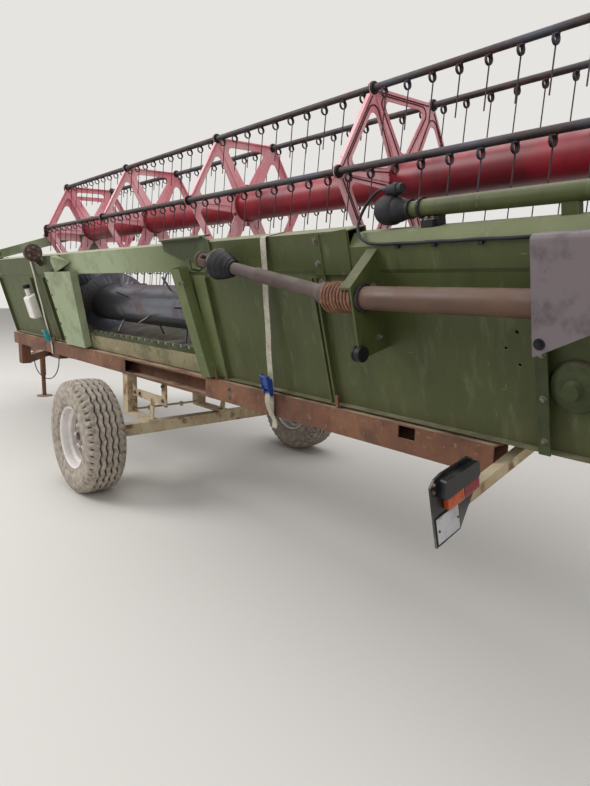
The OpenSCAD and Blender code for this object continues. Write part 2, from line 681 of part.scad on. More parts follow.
// Collars, saddle and cable clips
clip_places = [2335, 2495, 2675];
clip_top = 699.7;
cable_up = 706;
module tube_clamp() color(black) tilted() {
    translate([0, tube_y, tube_z]) difference() {
        union() {
            rod_x(top_tube_r + 6, tube_end, tube_end + 12);
            rod_x(top_tube_r + 8, tube_feet[0] - 14, tube_feet[0] - 4);
        }
        rod_x(top_tube_r - 3, tube_end - 1, tube_feet[0]);
    }
    block(tube_feet[0], tube_feet[0] + 70, tube_y - 26, tube_y + 20, step_top, tube_z - top_tube_r);
    block(tube_feet[0] + 10, tube_feet[0] + 60, tube_y - 44, tube_y - 24, step_top, step_top + 26);
    for (x = clip_places) block(x, x + 14, -27, wall_back, clip_top - 12, clip_top);
    // Socket of the cable at the cover
    block(cable_end, cable_end + 30, -30, wall_back, cable_up - 18, cable_up + 8);
}
module boot() color(black) tilted() translate([tube_end - 2, tube_y, tube_z]) {
    rotate([0, -87, 0]) rotate_extrude() polygon([[0, 0], [33, 0], [34, 12], [44, 36], [47, 58], [54, 64],
        [56, 94], [52, 118], [40, 138], [0, 144]]);
    // Plug of the cable
    translate([0, 5, 76]) rod_x(20, plug_x - tube_end + 2, plug_x - tube_end + 74);
    translate([0, 5, 76]) rod_x(24, plug_x - tube_end + 32, plug_x - tube_end + 52);
}

// Cables that hang in loops
cable_r = 6;
module sweep(route, r) {
    n = len(route);
    dirs = [for (i = [0 : n - 1]) let(d = route[min(i + 1, n - 1)] - route[max(i - 1, 0)]) d / norm(d)];
    sides = [for (d = dirs) let(s = cross(d, [0, 1, 0.2])) s / norm(s)];
    rings = [for (i = [0 : n - 1]) let(s = sides[i], t = cross(dirs[i], s)) each
        [for (k = [0 : 7]) route[i] + r * (cos(45 * k) * s + sin(45 * k) * t)]];
    polyhedron(rings, concat([[for (k = [7 : -1 : 0]) k]],
        [for (i = [0 : n - 2], k = [0 : 7]) let(a = 8 * i + k, b = 8 * i + (k + 1) % 8)
            each [[a, b, b + 8], [a, b + 8, a + 8]]],
        [[for (k = [0 : 7]) 8 * (n - 1) + k]]));
}
plug_x = 2240;
cable_end = cover_x - 30.3;
top_route = [[2238.8, 85, 888], [2222, 85, 890], [2200, 85, 889], [2178, 82, 880], [2156, 75, 863],
    [2137, 65, 841], [2124, 53, 817], [2119, 40, 795], [2121, 26, 777], [2130, 11, 759], [2146, -2, 742],
    [2168, -13, 727], [2196, -19, 715], [2230, -20, 708.5], [2280, -20, 705.5], [2342, -20, 706],
    [2420, -20, 703.5], [2502, -20, 706], [2590, -20, 703], [2682, -20, 706], [2790, -20, 702],
    [cable_end - gap, -20, 706]];
module cable_top() color(black) tilted() sweep(top_route, cable_r);
front_route = [[-4230, -30, 508.5], [-4236, -30, 460], [-4222, -30, 380], [-4170, -30, 300],
    [-4080, -30, 245], [-3960, -30, 215], [-3820, -30, 205], [-3680, -30, 210], [-3560, -30, 232],
    [-3450, -30, 275], [-3360, -30, 335], [-3300, -30, 405], [-3276, -30, 460], [-3270, -30, 508.5]];
module cable_front() color(black) placed() sweep(front_route, cable_r);

// White container with a neck and a cap
box_x0 = 2250;
box_w = 160;
box_low = 200;
box_h = 235;
box_d = 90;
box_round = 20;
box_y0 = -box_d + box_round;
box_y1 = -sheet - gap - box_round;
module storage_box() color(rim_white) tilted() {
    along_x(-box_x0, -box_x0 + box_w) rounded([[box_y0, box_low + box_round], [box_y1, box_low + box_round],
        [box_y1, box_low + box_h], [box_y0, box_low + box_h - 40]], box_round);
    translate([-box_x0 + box_w / 2, (box_y0 + box_y1) / 2, box_low + box_h]) {
        cylinder(r = 24, h = 60);
        translate([0, 0, 52]) cylinder(r = 30, h = 34);
    }
}
// Round housing on a bracket at the beam
housing_x = 1550;
housing_at = [-82, wall_h + 43];
module round_housing() color(steel) tilted() mirror([1, 0, 0]) {
    translate([0, housing_at[0], housing_at[1]]) {
        rod_x(73, housing_x - 22, housing_x + 22);
        rod_x(56, housing_x - 34, housing_x + 30);
        rod_x(22, housing_x - 52, housing_x + 34);
    }
    along_x(housing_x + 29, housing_x + 39) link(housing_at, 34, [wall_back - 22, wall_h - 60], 22);
}
strap_w = 40;
// Straps over the beam and down to the rail, [X at the beam, X at the rail]
strap_places = [[1570, 1446], [-1880, -1895]];
module straps() color("#d8cfc4") tilted() for (s = strap_places) {
    along_x(s[0] - strap_w / 2, s[0] + strap_w / 2) rect(-24, 20, wall_h, wall_h + 3);
    translate([s[0], 0, wall_h]) rotate([0, atan2(s[0] - s[1], wall_h + 52), 0])
        along_x(-strap_w / 2, strap_w / 2) polygon([[-24, 3], [-74, -wall_h - 52],
            [-71, -wall_h - 52], [-21, 3]]);
}

// Trailer
rail_z = rail_top - rail_h;
rail_left = half_w;
rail_right = half_w - rail_short;
// Openings in the rear rail's outer face, [X from, X to, Z from, Z to]
rail_slots = [[-320, 800, rail_z + 16, rail_top - 12], [2270, 2355, rail_z + 58, rail_top - 7]];
module rail(y) box_x(-rail_left, rail_right, y - rail_w / 2, y + rail_w / 2, rail_z, rail_top, rail_t);
module rail_rear() color(rust) placed() difference() {
    rail(-rail_rear_y);
    for (r = rail_slots) block(r[0], r[1], -rail_rear_y - rail_w / 2 - 1,
        -rail_rear_y - rail_w / 2 + rail_t + 1, r[2], r[3]);
}
module rail_front() color(rust) placed() rail(rail_front_y);
cross_places = [-half_w + 250, -1500, 900, rail_right - 250];
hook_places = [-1850, -1200, 900, 1900];
prop_places = [-2 * floor_rib_pitch, 0, 2 * floor_rib_pitch];
rear_in = -rail_rear_y + rail_w / 2;
seat_z = foot_z + beam_low * cos(tilt) - gap;
front_in = rail_front_y - rail_w / 2;
module cross_frame() color(rust) placed() {
    for (x = cross_places) block(x - 40, x + 40, rear_in, front_in, rail_z + 15, rail_top - 15);
    // Hooks behind the table's foot and props below its floor
    for (x = hook_places) along_x(x, x + 14)
        polygon([[rear_in - 94, rail_top], [rear_in - 100, seat_z + 52], [rear_in - 92, seat_z + 52],
            [rear_in - 85, seat_z], [rear_in - 8, seat_z], [rear_in - 8, rail_top]]);
    for (x = prop_places) along_x(x - 25, x + 25) polygon([[front_in + 20, rail_top],
        [front_in + 80, rail_top], [front_in + 80, prop_z(front_in + 80)],
        [front_in + 20, prop_z(front_in + 20)]]);
}
// Height of the floor channels' underside at a place along Y
rib_slope = atan2(23, floor_d - beam_d);
function prop_z(y) = foot_z + (y - foot_y) * tan(tilt + rib_slope) - 20;
hitch_end = eye_x - 120;
module bar_to(p, q, w, h) {
    d = q - p;
    translate([p[0], p[1], drawbar_z - h / 2]) rotate([0, 0, atan2(d[1], d[0])])
        translate([0, -w / 2, 0]) cube([norm(d), w, h]);
}
module drawbar() color(rust) placed() {
    block(-hitch_end, -jack_x + 500, -50, 50, drawbar_z - 50, drawbar_z + 50);
    bar_to([-rail_left + 200, -rail_rear_y], [-jack_x + 60, -20], 80, 80);
    bar_to([-rail_left + 200, rail_front_y], [-jack_x + 60, 20], 80, 80);
    for (y = [-rail_rear_y, rail_front_y]) block(-rail_left + 120, -rail_left + 240, y - 45, y + 45,
        drawbar_z - 40, rail_z);
}
module tow_eye() color(steel) placed() difference() {
    union() {
        block(-eye_x + 40, -hitch_end, -30, 30, drawbar_z - 20, drawbar_z + 20);
        translate([-eye_x, 0, drawbar_z - 20]) cylinder(r = eye_outer, h = 40);
    }
    translate([-eye_x, 0, drawbar_z - 30]) cylinder(r = eye_r, h = 60);
}
module jack() color(rust) placed() translate([-jack_x, -85, 0]) {
    cylinder(r = 90, h = 8);
    cylinder(r = 24, h = 300);
    translate([0, 0, 260]) cylinder(r = 32, h = 420);
    block(-20, 20, 20, 35 - gap, drawbar_z - 30, drawbar_z + 30);
    translate([0, 0, 680]) cylinder(r = 12, h = 40);
    translate([0, 0, 708]) rod_x(8, -120, 0);
}
module axle() color(rust) placed() translate([-axle_x, 0, tyre_r]) {
    end_y = track / 2 - tyre_w / 2 - 20;
    under_rail = rail_z - tyre_r;
    block(-40, 40, -end_y, end_y, -40, 40);
    for (s = [-1, 1]) scale([1, s, 1]) rod_y(spindle_r, end_y - 1, track / 2 + 30);
    // Arms on the axle with upright posts and bracket plates to the rails
    for (y = [-rail_rear_y, rail_front_y]) {
        block(-350, 60, y - 35, y + 35, 40, 64);
        block(-350, -270, y - 38, y + 38, 60, under_rail);
        translate([0, y + 6, 0]) rotate([90, 0, 0]) linear_extrude(12) polygon([[-272, 190],
            [30, 190], [10, 60], [60, 60], [80, 190], [260, 190], [260, under_rail],
            [200, under_rail], [200, 245], [-200, 245], [-272, 300]]);
    }
    // Brake rod with its clips
    translate([-300, 0, 72]) rod_y(8, -rail_rear_y + 37, rail_front_y - 37);
    for (y = [-340, -200, -60]) block(-312, -288, y - 9, y + 9, 52, 86);
}
// Light bar on the rear rail's end, in line with the tilted table, with the lamp board on it
bar_d = 40;
board_t = 8;
bar_at_z = -90;
module light_bar() color(rust) tilted()
    block(rail_right, rail_right + bar_d, -350, 180, bar_at_z - 20, bar_at_z + 20);
board_x = rail_right + bar_d;
module lamp_board() color(black) tilted() {
    along_x(board_x, board_x + board_t) polygon([[-478, -167], [-351, -164], [-300, -108], [-254, -60],
        [-252, 51], [-275, 66], [-420, 74], [-455, 68], [-478, 50]]);
    along_x(board_x + board_t - 1, board_x + board_t + 30) rounded([[-440, 10], [-270, 10], [-270, 44],
        [-430, 52]], 10);
}
module lamp_lenses() color("orange") tilted() for (u = [-426, -340])
    block(board_x + board_t, board_x + board_t + 26, u, u + 83, -48, -1);

// Wheels
module tyre() rotate([90, 0, 0]) rotate_extrude() {
    h = tyre_w / 2;
    polygon([[rim_r + gap, -94], [rim_r + 15, -102], [rim_r + 17, -112], [rim_r + 70, -h], [rim_r + 130, -h + 4],
        [tyre_r - 22, -h + 20], [tyre_r - 6, -h + 34],
        [tyre_r - 4, -76], [tyre_r - 14, -72], [tyre_r - 14, -60], [tyre_r - 2, -56],
        [tyre_r, -36], [tyre_r - 12, -32], [tyre_r - 12, -20], [tyre_r, -16],
        [tyre_r, 16], [tyre_r - 12, 20], [tyre_r - 12, 32], [tyre_r, 36],
        [tyre_r - 2, 56], [tyre_r - 14, 60], [tyre_r - 14, 72], [tyre_r - 4, 76],
        [tyre_r - 6, h - 34], [tyre_r - 22, h - 20], [rim_r + 130, h - 4], [rim_r + 70, h],
        [rim_r + 17, 112], [rim_r + 15, 102], [rim_r + gap, 94]]);
}
module rim() difference() {
    union() {
        rotate([90, 0, 0]) rotate_extrude() polygon([[rim_r - 30, -60], [rim_r - 8, -100],
            [rim_r + 14, -112], [rim_r + 14, -104], [rim_r, -96], [rim_r, 96], [rim_r + 14, 104],
            [rim_r + 14, 112], [rim_r - 8, 100], [rim_r - 30, 60], [rim_r - 30, 20], [90, 34],
            [90, 24], [rim_r - 30, 8]]);
        rod_y(92, -34, -24);
        rod_y(60, -60, 70);
        for (a = [0 : 60 : 300]) rotate([0, a, 0]) translate([75, 0, 0]) rod_y(10, -46, -30);
    }
    rod_y(spindle_r + gap, -40, 80);
}
wheel_y = track / 2;
module wheel_place(side) placed() translate([-axle_x, side * wheel_y, tyre_r]) children();
module tyre_left() color(tyre_black) wheel_place(1) tyre();
module tyre_right() color(tyre_black) wheel_place(-1) tyre();
module rim_left() color(rim_white) wheel_place(1) rotate([0, 0, 180]) rim();
module rim_right() color(rim_white) wheel_place(-1) rim();

rail_rear();
rail_front();
cross_frame();
drawbar();
tow_eye();
jack();
axle();
light_bar();
lamp_board();
lamp_lenses();
tyre_left();
rim_left();
tyre_right();
rim_right();
wall_left();
wall_right();
top_beam();
bottom_beam();
table_floor();
feeder_posts();
stripper_bar();
end_plate_left();
end_plate_right();
divider_left();
divider_right();
cutter_bar();
knife();
auger_tube();
auger_flights();
reel_frame();
tine_bar_1();
tine_bar_2();
tine_bar_3();
tine_bar_4();
tine_bar_5();
tine_bar_6();
control_disc();
reel_arm_left();
reel_arm_right();
lift_barrel_left();
lift_rod_left();
lift_barrel_right();
lift_rod_right();
shaft_guard();
shaft_bracket();
bellows();
drive_shaft();
shaft_hook();
drive_cover();
end_dish();
top_tube();
tube_clamp();
boot();
cable_top();
cable_front();
storage_box();
round_housing();
straps();
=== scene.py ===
import math

import bmesh
import bpy
from mathutils import Matrix, Vector


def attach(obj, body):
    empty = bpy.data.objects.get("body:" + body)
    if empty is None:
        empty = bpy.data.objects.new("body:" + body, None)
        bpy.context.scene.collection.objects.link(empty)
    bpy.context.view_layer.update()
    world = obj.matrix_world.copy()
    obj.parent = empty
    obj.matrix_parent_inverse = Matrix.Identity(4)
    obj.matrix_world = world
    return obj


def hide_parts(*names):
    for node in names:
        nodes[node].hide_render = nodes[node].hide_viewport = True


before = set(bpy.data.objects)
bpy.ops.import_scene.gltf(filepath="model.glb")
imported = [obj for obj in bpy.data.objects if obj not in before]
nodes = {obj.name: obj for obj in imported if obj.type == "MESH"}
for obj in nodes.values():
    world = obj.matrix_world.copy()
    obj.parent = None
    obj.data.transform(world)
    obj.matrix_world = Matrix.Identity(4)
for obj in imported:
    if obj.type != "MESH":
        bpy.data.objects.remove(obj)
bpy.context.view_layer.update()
print("frame loaded:", len(nodes), "nodes")

# The camera stands where the photograph was taken, to the right of the header and behind it
camera = {
    "place": Vector((4.455, -2.37, 1.378)),
    "heading": (-0.7585, 0.6517),
    "pitchDown": math.radians(10.135),
    "roll": math.radians(1.25),
    "focalPixels": 582.9,
    "imageHeight": 786,
    "sensor": 36.0,
}


def makeCamera():
    down = camera["pitchDown"]
    ahead, aside = camera["heading"]
    forward = Vector((ahead * math.cos(down), aside * math.cos(down), -math.sin(down))).normalized()
    level = forward.cross(Vector((0, 0, 1))).normalized()
    up = level.cross(forward)
    side = level * math.cos(camera["roll"]) + up * math.sin(camera["roll"])
    top = up * math.cos(camera["roll"]) - level * math.sin(camera["roll"])
    data = bpy.data.cameras.new("camera")
    data.sensor_fit = "VERTICAL"
    data.sensor_height = camera["sensor"]
    data.lens = camera["focalPixels"] / camera["imageHeight"] * camera["sensor"]
    data.clip_end = 200
    cameraObject = bpy.data.objects.new("camera", data)
    bpy.context.collection.objects.link(cameraObject)
    turn = Matrix((side, top, -forward)).transposed().to_4x4()
    cameraObject.matrix_world = Matrix.Translation(camera["place"]) @ turn
    bpy.context.scene.camera = cameraObject


makeCamera()

# Places shared with the part, in metres: x from the table's middle, then along its floor, then up its wall
tilt = math.radians(15)
middleX = 0.705
tableFrame = Matrix.Translation((middleX, -0.49, 0.87)) @ Matrix.Rotation(tilt, 4, "X")
trailerFrame = Matrix.Translation((middleX, 0, 0))


# Small helpers
def newPiece(name, mesh, body, replaced=()):
    piece = bpy.data.objects.new(name, mesh)
    bpy.context.collection.objects.link(piece)
    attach(piece, body)
    if replaced:
        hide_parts(*replaced)
    return piece


def toMesh(name, bm, finish=None, place=None, sharpAngle=35):
    bmesh.ops.remove_doubles(bm, verts=bm.verts, dist=1e-5)
    bmesh.ops.recalc_face_normals(bm, faces=bm.faces)
    if place is not None:
        bmesh.ops.transform(bm, matrix=place, verts=bm.verts)
    mesh = bpy.data.meshes.new(name)
    bm.to_mesh(mesh)
    bm.free()
    for face in mesh.polygons:
        face.use_smooth = True
    mesh.set_sharp_from_angle(angle=math.radians(sharpAngle))
    if finish:
        mesh.materials.append(finishes[finish])
    return mesh


def lathe(points, steps=48, closed=False):  # (distance along X, radius) points turned about X
    bm = bmesh.new()
    line = [bm.verts.new((distance, 0, radius)) for distance, radius in points]
    edges = [bm.edges.new(pair) for pair in zip(line, line[1:])]
    if closed:
        edges.append(bm.edges.new((line[-1], line[0])))
    bmesh.ops.spin(bm, geom=line + edges, axis=(1, 0, 0), cent=(0, 0, 0), angle=math.tau, steps=steps,
                   use_merge=True)
    return bm


def makeTurned(name, points, finish, place, replaced=(), steps=48, closed=False):
    newPiece(name, toMesh(name, lathe(points, steps, closed), finish, place), "unit", replaced)


def addBlock(bm, low, high, radius=0.0, segments=2):
    low, high = Vector(low), Vector(high)
    verts = bmesh.ops.create_cube(bm, size=1)["verts"]
    bmesh.ops.scale(bm, vec=high - low, verts=verts)
    bmesh.ops.translate(bm, vec=(low + high) / 2, verts=verts)
    if radius:
        edges = list(dict.fromkeys(edge for vert in verts for edge in vert.link_edges))
        bmesh.ops.bevel(bm, geom=edges, offset=radius, segments=segments, profile=0.5, affect="EDGES",
                        material=-1)


def addCone(bm, place, radii, depth, sides=20):  # around the place, along its Z
    verts = bmesh.ops.create_cone(bm, cap_ends=True, segments=sides, radius1=radii[0], radius2=radii[1],
                                  depth=depth)["verts"]
    bmesh.ops.transform(bm, matrix=place, verts=verts)


def addPlate(bm, outline, x0, x1):  # an outline drawn as (y, z), extruded along X
    face = bm.faces.new([bm.verts.new((x0, y, z)) for y, z in outline])
    made = bmesh.ops.extrude_face_region(bm, geom=[face])["geom"]
    bmesh.ops.translate(bm, vec=(x1 - x0, 0, 0), verts=[v for v in made if isinstance(v, bmesh.types.BMVert)])


def addCopies(bm, mesh, places):
    for place in places:
        before = len(bm.verts)
        bm.from_mesh(mesh)
        bm.verts.ensure_lookup_table()
        bmesh.ops.transform(bm, matrix=place, verts=bm.verts[before:])


def along(start, end):  # puts +X on the line from start to end
    line = Vector(end) - Vector(start)
    return Matrix.Translation(start) @ line.to_track_quat("X", "Z").to_matrix().to_4x4()


def seated(place, facing, turn=0.0):  # puts +Z on the facing direction
    face = Vector(facing).to_track_quat("Z", "Y").to_matrix().to_4x4()
    return Matrix.Translation(place) @ face @ Matrix.Rotation(turn, 4, "Z")


def arcPoints(centre, radius, start, sweep, count):
    angles = [math.radians(start + sweep * i / count) for i in range(count + 1)]
    return [(centre[0] + radius * math.cos(a), centre[1] + radius * math.sin(a)) for a in angles]


def heading(start, end):
    return math.degrees(math.atan2(end[1] - start[1], end[0] - start[0]))


def roundedOutline(points, radius, count=6):  # a convex outline, anticlockwise, grown with round corners
    outline = []
    for before, here, after in zip(points[-1:] + points[:-1], points, points[1:] + points[:1]):
        first, second = heading(before, here), heading(here, after)
        outline += arcPoints(here, radius, first - 90, (second - first) % 360, count)
    return outline


def tubesMesh(name, lines, radius, cyclic, finish, place=None):  # round beads and wires along lines of points
    curve = bpy.data.curves.new(name, "CURVE")
    curve.dimensions = "3D"
    curve.bevel_depth = radius
    curve.bevel_resolution = 1
    curve.use_fill_caps = not cyclic
    for points in lines:
        spline = curve.splines.new("POLY")
        spline.points.add(len(points) - 1)
        for target, point in zip(spline.points, points):
            target.co = (*point, 1)
        spline.use_cyclic_u = cyclic
    holder = bpy.data.objects.new(name, curve)
    made = bpy.data.meshes.new_from_object(holder)
    bpy.data.objects.remove(holder)
    bm = bmesh.new()
    bm.from_mesh(made)
    bpy.data.meshes.remove(made)
    bpy.data.curves.remove(curve)
    return toMesh(name, bm, finish, place)


def toLinear(code):
    values = [int(code[i:i + 2], 16) / 255 for i in (1, 3, 5)]
    return tuple(v / 12.92 if v <= 0.04045 else ((v + 0.055) / 1.055) ** 2.4 for v in values) + (1.0,)


def perMetre(millimetres):
    return 1000 / millimetres


def addNode(tree, kind, settings=None, inputs=None):
    node = tree.nodes.new(kind)
    for key, value in (settings or {}).items():
        setattr(node, key, value)
    for key, value in (inputs or {}).items():
        if isinstance(value, bpy.types.NodeSocket):
            tree.links.new(value, node.inputs[key])
        else:
            node.inputs[key].default_value = value
    return node


# Finishes: a base colour with layers on it, and each layer is a patchy mask of a real size
masking = {
    "shift": (3.7, 1.9, 5.3),      # metres between the noise of one layer and of the next
    "noiseRoughness": 0.6,
    "upFull": 0.95,                # a face that looks up this far is fully covered
    "edgeTurn": (0.97, 0.8),       # rounded against flat normal, where wear starts and where it is full
    "edgeSamples": 4,
    "tubeFade": 0.012,
}


def ramp(tree, value, start, end, first=0, last=1):  # from first at the start to last at the end
    return addNode(tree, "ShaderNodeMapRange", None, {
        "Value": value, "From Min": start, "From Max": end, "To Min": first, "To Max": last}).outputs[0]


def layerMask(tree, layer, number, place, normal, wide, tall):
    mapped = addNode(tree, "ShaderNodeMapping", None, {
        "Vector": place, "Location": [metres * number for metres in masking["shift"]],
        "Scale": layer.get("stretch", (1, 1, 1))}).outputs[0]
    noise = addNode(tree, "ShaderNodeTexNoise", None, {
        "Vector": mapped, "Scale": perMetre(layer["size"]), "Detail": layer.get("detail", 5),
        "Roughness": masking["noiseRoughness"]}).outputs["Fac"]
    masks = [ramp(tree, noise, layer["low"], layer["high"], 0, layer["most"])]
    if "up" in layer:  # lies on faces that look up
        masks.append(ramp(tree, normal, layer["up"], masking["upFull"]))
    if "heights" in layer:  # fades out from the first height to the second
        masks.append(ramp(tree, tall, *layer["heights"], 1, 0))
    if "leftOf" in layer:  # fades out from the first place along the header to the second
        masks.append(ramp(tree, wide, *layer["leftOf"], 1, 0))
    if "edge" in layer:  # worn where a fold or a cut edge sticks out, this many millimetres wide
        soft = addNode(tree, "ShaderNodeBevel", {"samples": masking["edgeSamples"]}, {
            "Radius": layer["edge"] / 1000}).outputs[0]
        sharp = addNode(tree, "ShaderNodeNewGeometry").outputs["Normal"]
        turn = addNode(tree, "ShaderNodeVectorMath", {"operation": "DOT_PRODUCT"}, {
            0: soft, 1: sharp}).outputs["Value"]
        masks.append(ramp(tree, turn, *masking["edgeTurn"]))
    if "reelTube" in layer:  # only this close to the reel's middle line
        middle = addNode(tree, "ShaderNodeVectorMath", {"operation": "SUBTRACT"}, {
            0: place, 1: tableFrame @ Vector((0, *reel["centre"]))}).outputs[0]
        across = addNode(tree, "ShaderNodeVectorMath", {"operation": "MULTIPLY"}, {
            0: middle, 1: (0, 1, 1)}).outputs[0]
        away = addNode(tree, "ShaderNodeVectorMath", {"operation": "LENGTH"}, {0: across}).outputs["Value"]
        masks.append(ramp(tree, away, layer["reelTube"], layer["reelTube"] + masking["tubeFade"], 1, 0))
    mask = masks[0]
    for more in masks[1:]:
        mask = addNode(tree, "ShaderNodeMath", {"operation": "MULTIPLY"}, {0: mask, 1: more}).outputs[0]
    return mask


def makeFinish(name, look):
    material = bpy.data.materials.new(name)
    material.use_nodes = True
    tree = material.node_tree
    tree.nodes.clear()
    coordinates = addNode(tree, "ShaderNodeTexCoord")
    place = coordinates.outputs["Object"]
    normal = addNode(tree, "ShaderNodeSeparateXYZ", None, {0: coordinates.outputs["Normal"]}).outputs["Z"]
    split = addNode(tree, "ShaderNodeSeparateXYZ", None, {0: place}).outputs
    colour, rough = toLinear(look["colour"]), look["rough"]
    for number, layer in enumerate(look["layers"]):
        mask = layerMask(tree, layer, number, place, normal, split["X"], split["Z"])
        colour = addNode(tree, "ShaderNodeMix", {"data_type": "RGBA"}, {
            0: mask, 6: colour, 7: toLinear(layer["colour"])}).outputs[2]
        if "rough" in layer:
            rough = addNode(tree, "ShaderNodeMix", {"data_type": "FLOAT"}, {
                0: mask, 2: rough, 3: layer["rough"]}).outputs[0]
    shader = addNode(tree, "ShaderNodeBsdfPrincipled", None, {
        "Base Color": colour, "Roughness": rough, **look.get("shader", {})})
    bumped = None
    for size, height, strength in look["bumps"]:  # in millimetres
        relief = addNode(tree, "ShaderNodeTexNoise", None, {
            "Vector": place, "Scale": perMetre(size), "Detail": 3}).outputs["Fac"]
        before = {"Normal": bumped} if bumped else {}
        bumped = addNode(tree, "ShaderNodeBump", None, {
            "Height": relief, "Distance": height / 1000, "Strength": strength, **before}).outputs[0]
    tree.links.new(bumped, shader.inputs["Normal"])
    addNode(tree, "ShaderNodeOutputMaterial", None, {"Surface": shader.outputs[0]})
    return material


# The reel's places, used by its finish and its pieces
reel = {
    "centre": (1.0836, 0.8702),   # along the floor and up the wall, to the reel's shaft
    "barCircle": 0.51,
    "bars": 6,
    "barStep": 60,                # degrees
    "firstBar": -13,              # degrees
    "discs": (-3.0, -1.5, 0.0, 1.5, 3.0),
    "discThick": 0.004,
    "discEdge": 0.024,
    "barRadius": 0.018,
    "lobe": 0.038,
    "windowInner": 0.175,
    "windowOuter": 0.3867,
    "windowSpread": 19,
    "windowRound": 0.034,
}


def stain(colour, size, low, high, most=1, **more):  # patches of a size in mm, full past high
    return {"colour": colour, "size": size, "low": low, "high": high, "most": most, **more}


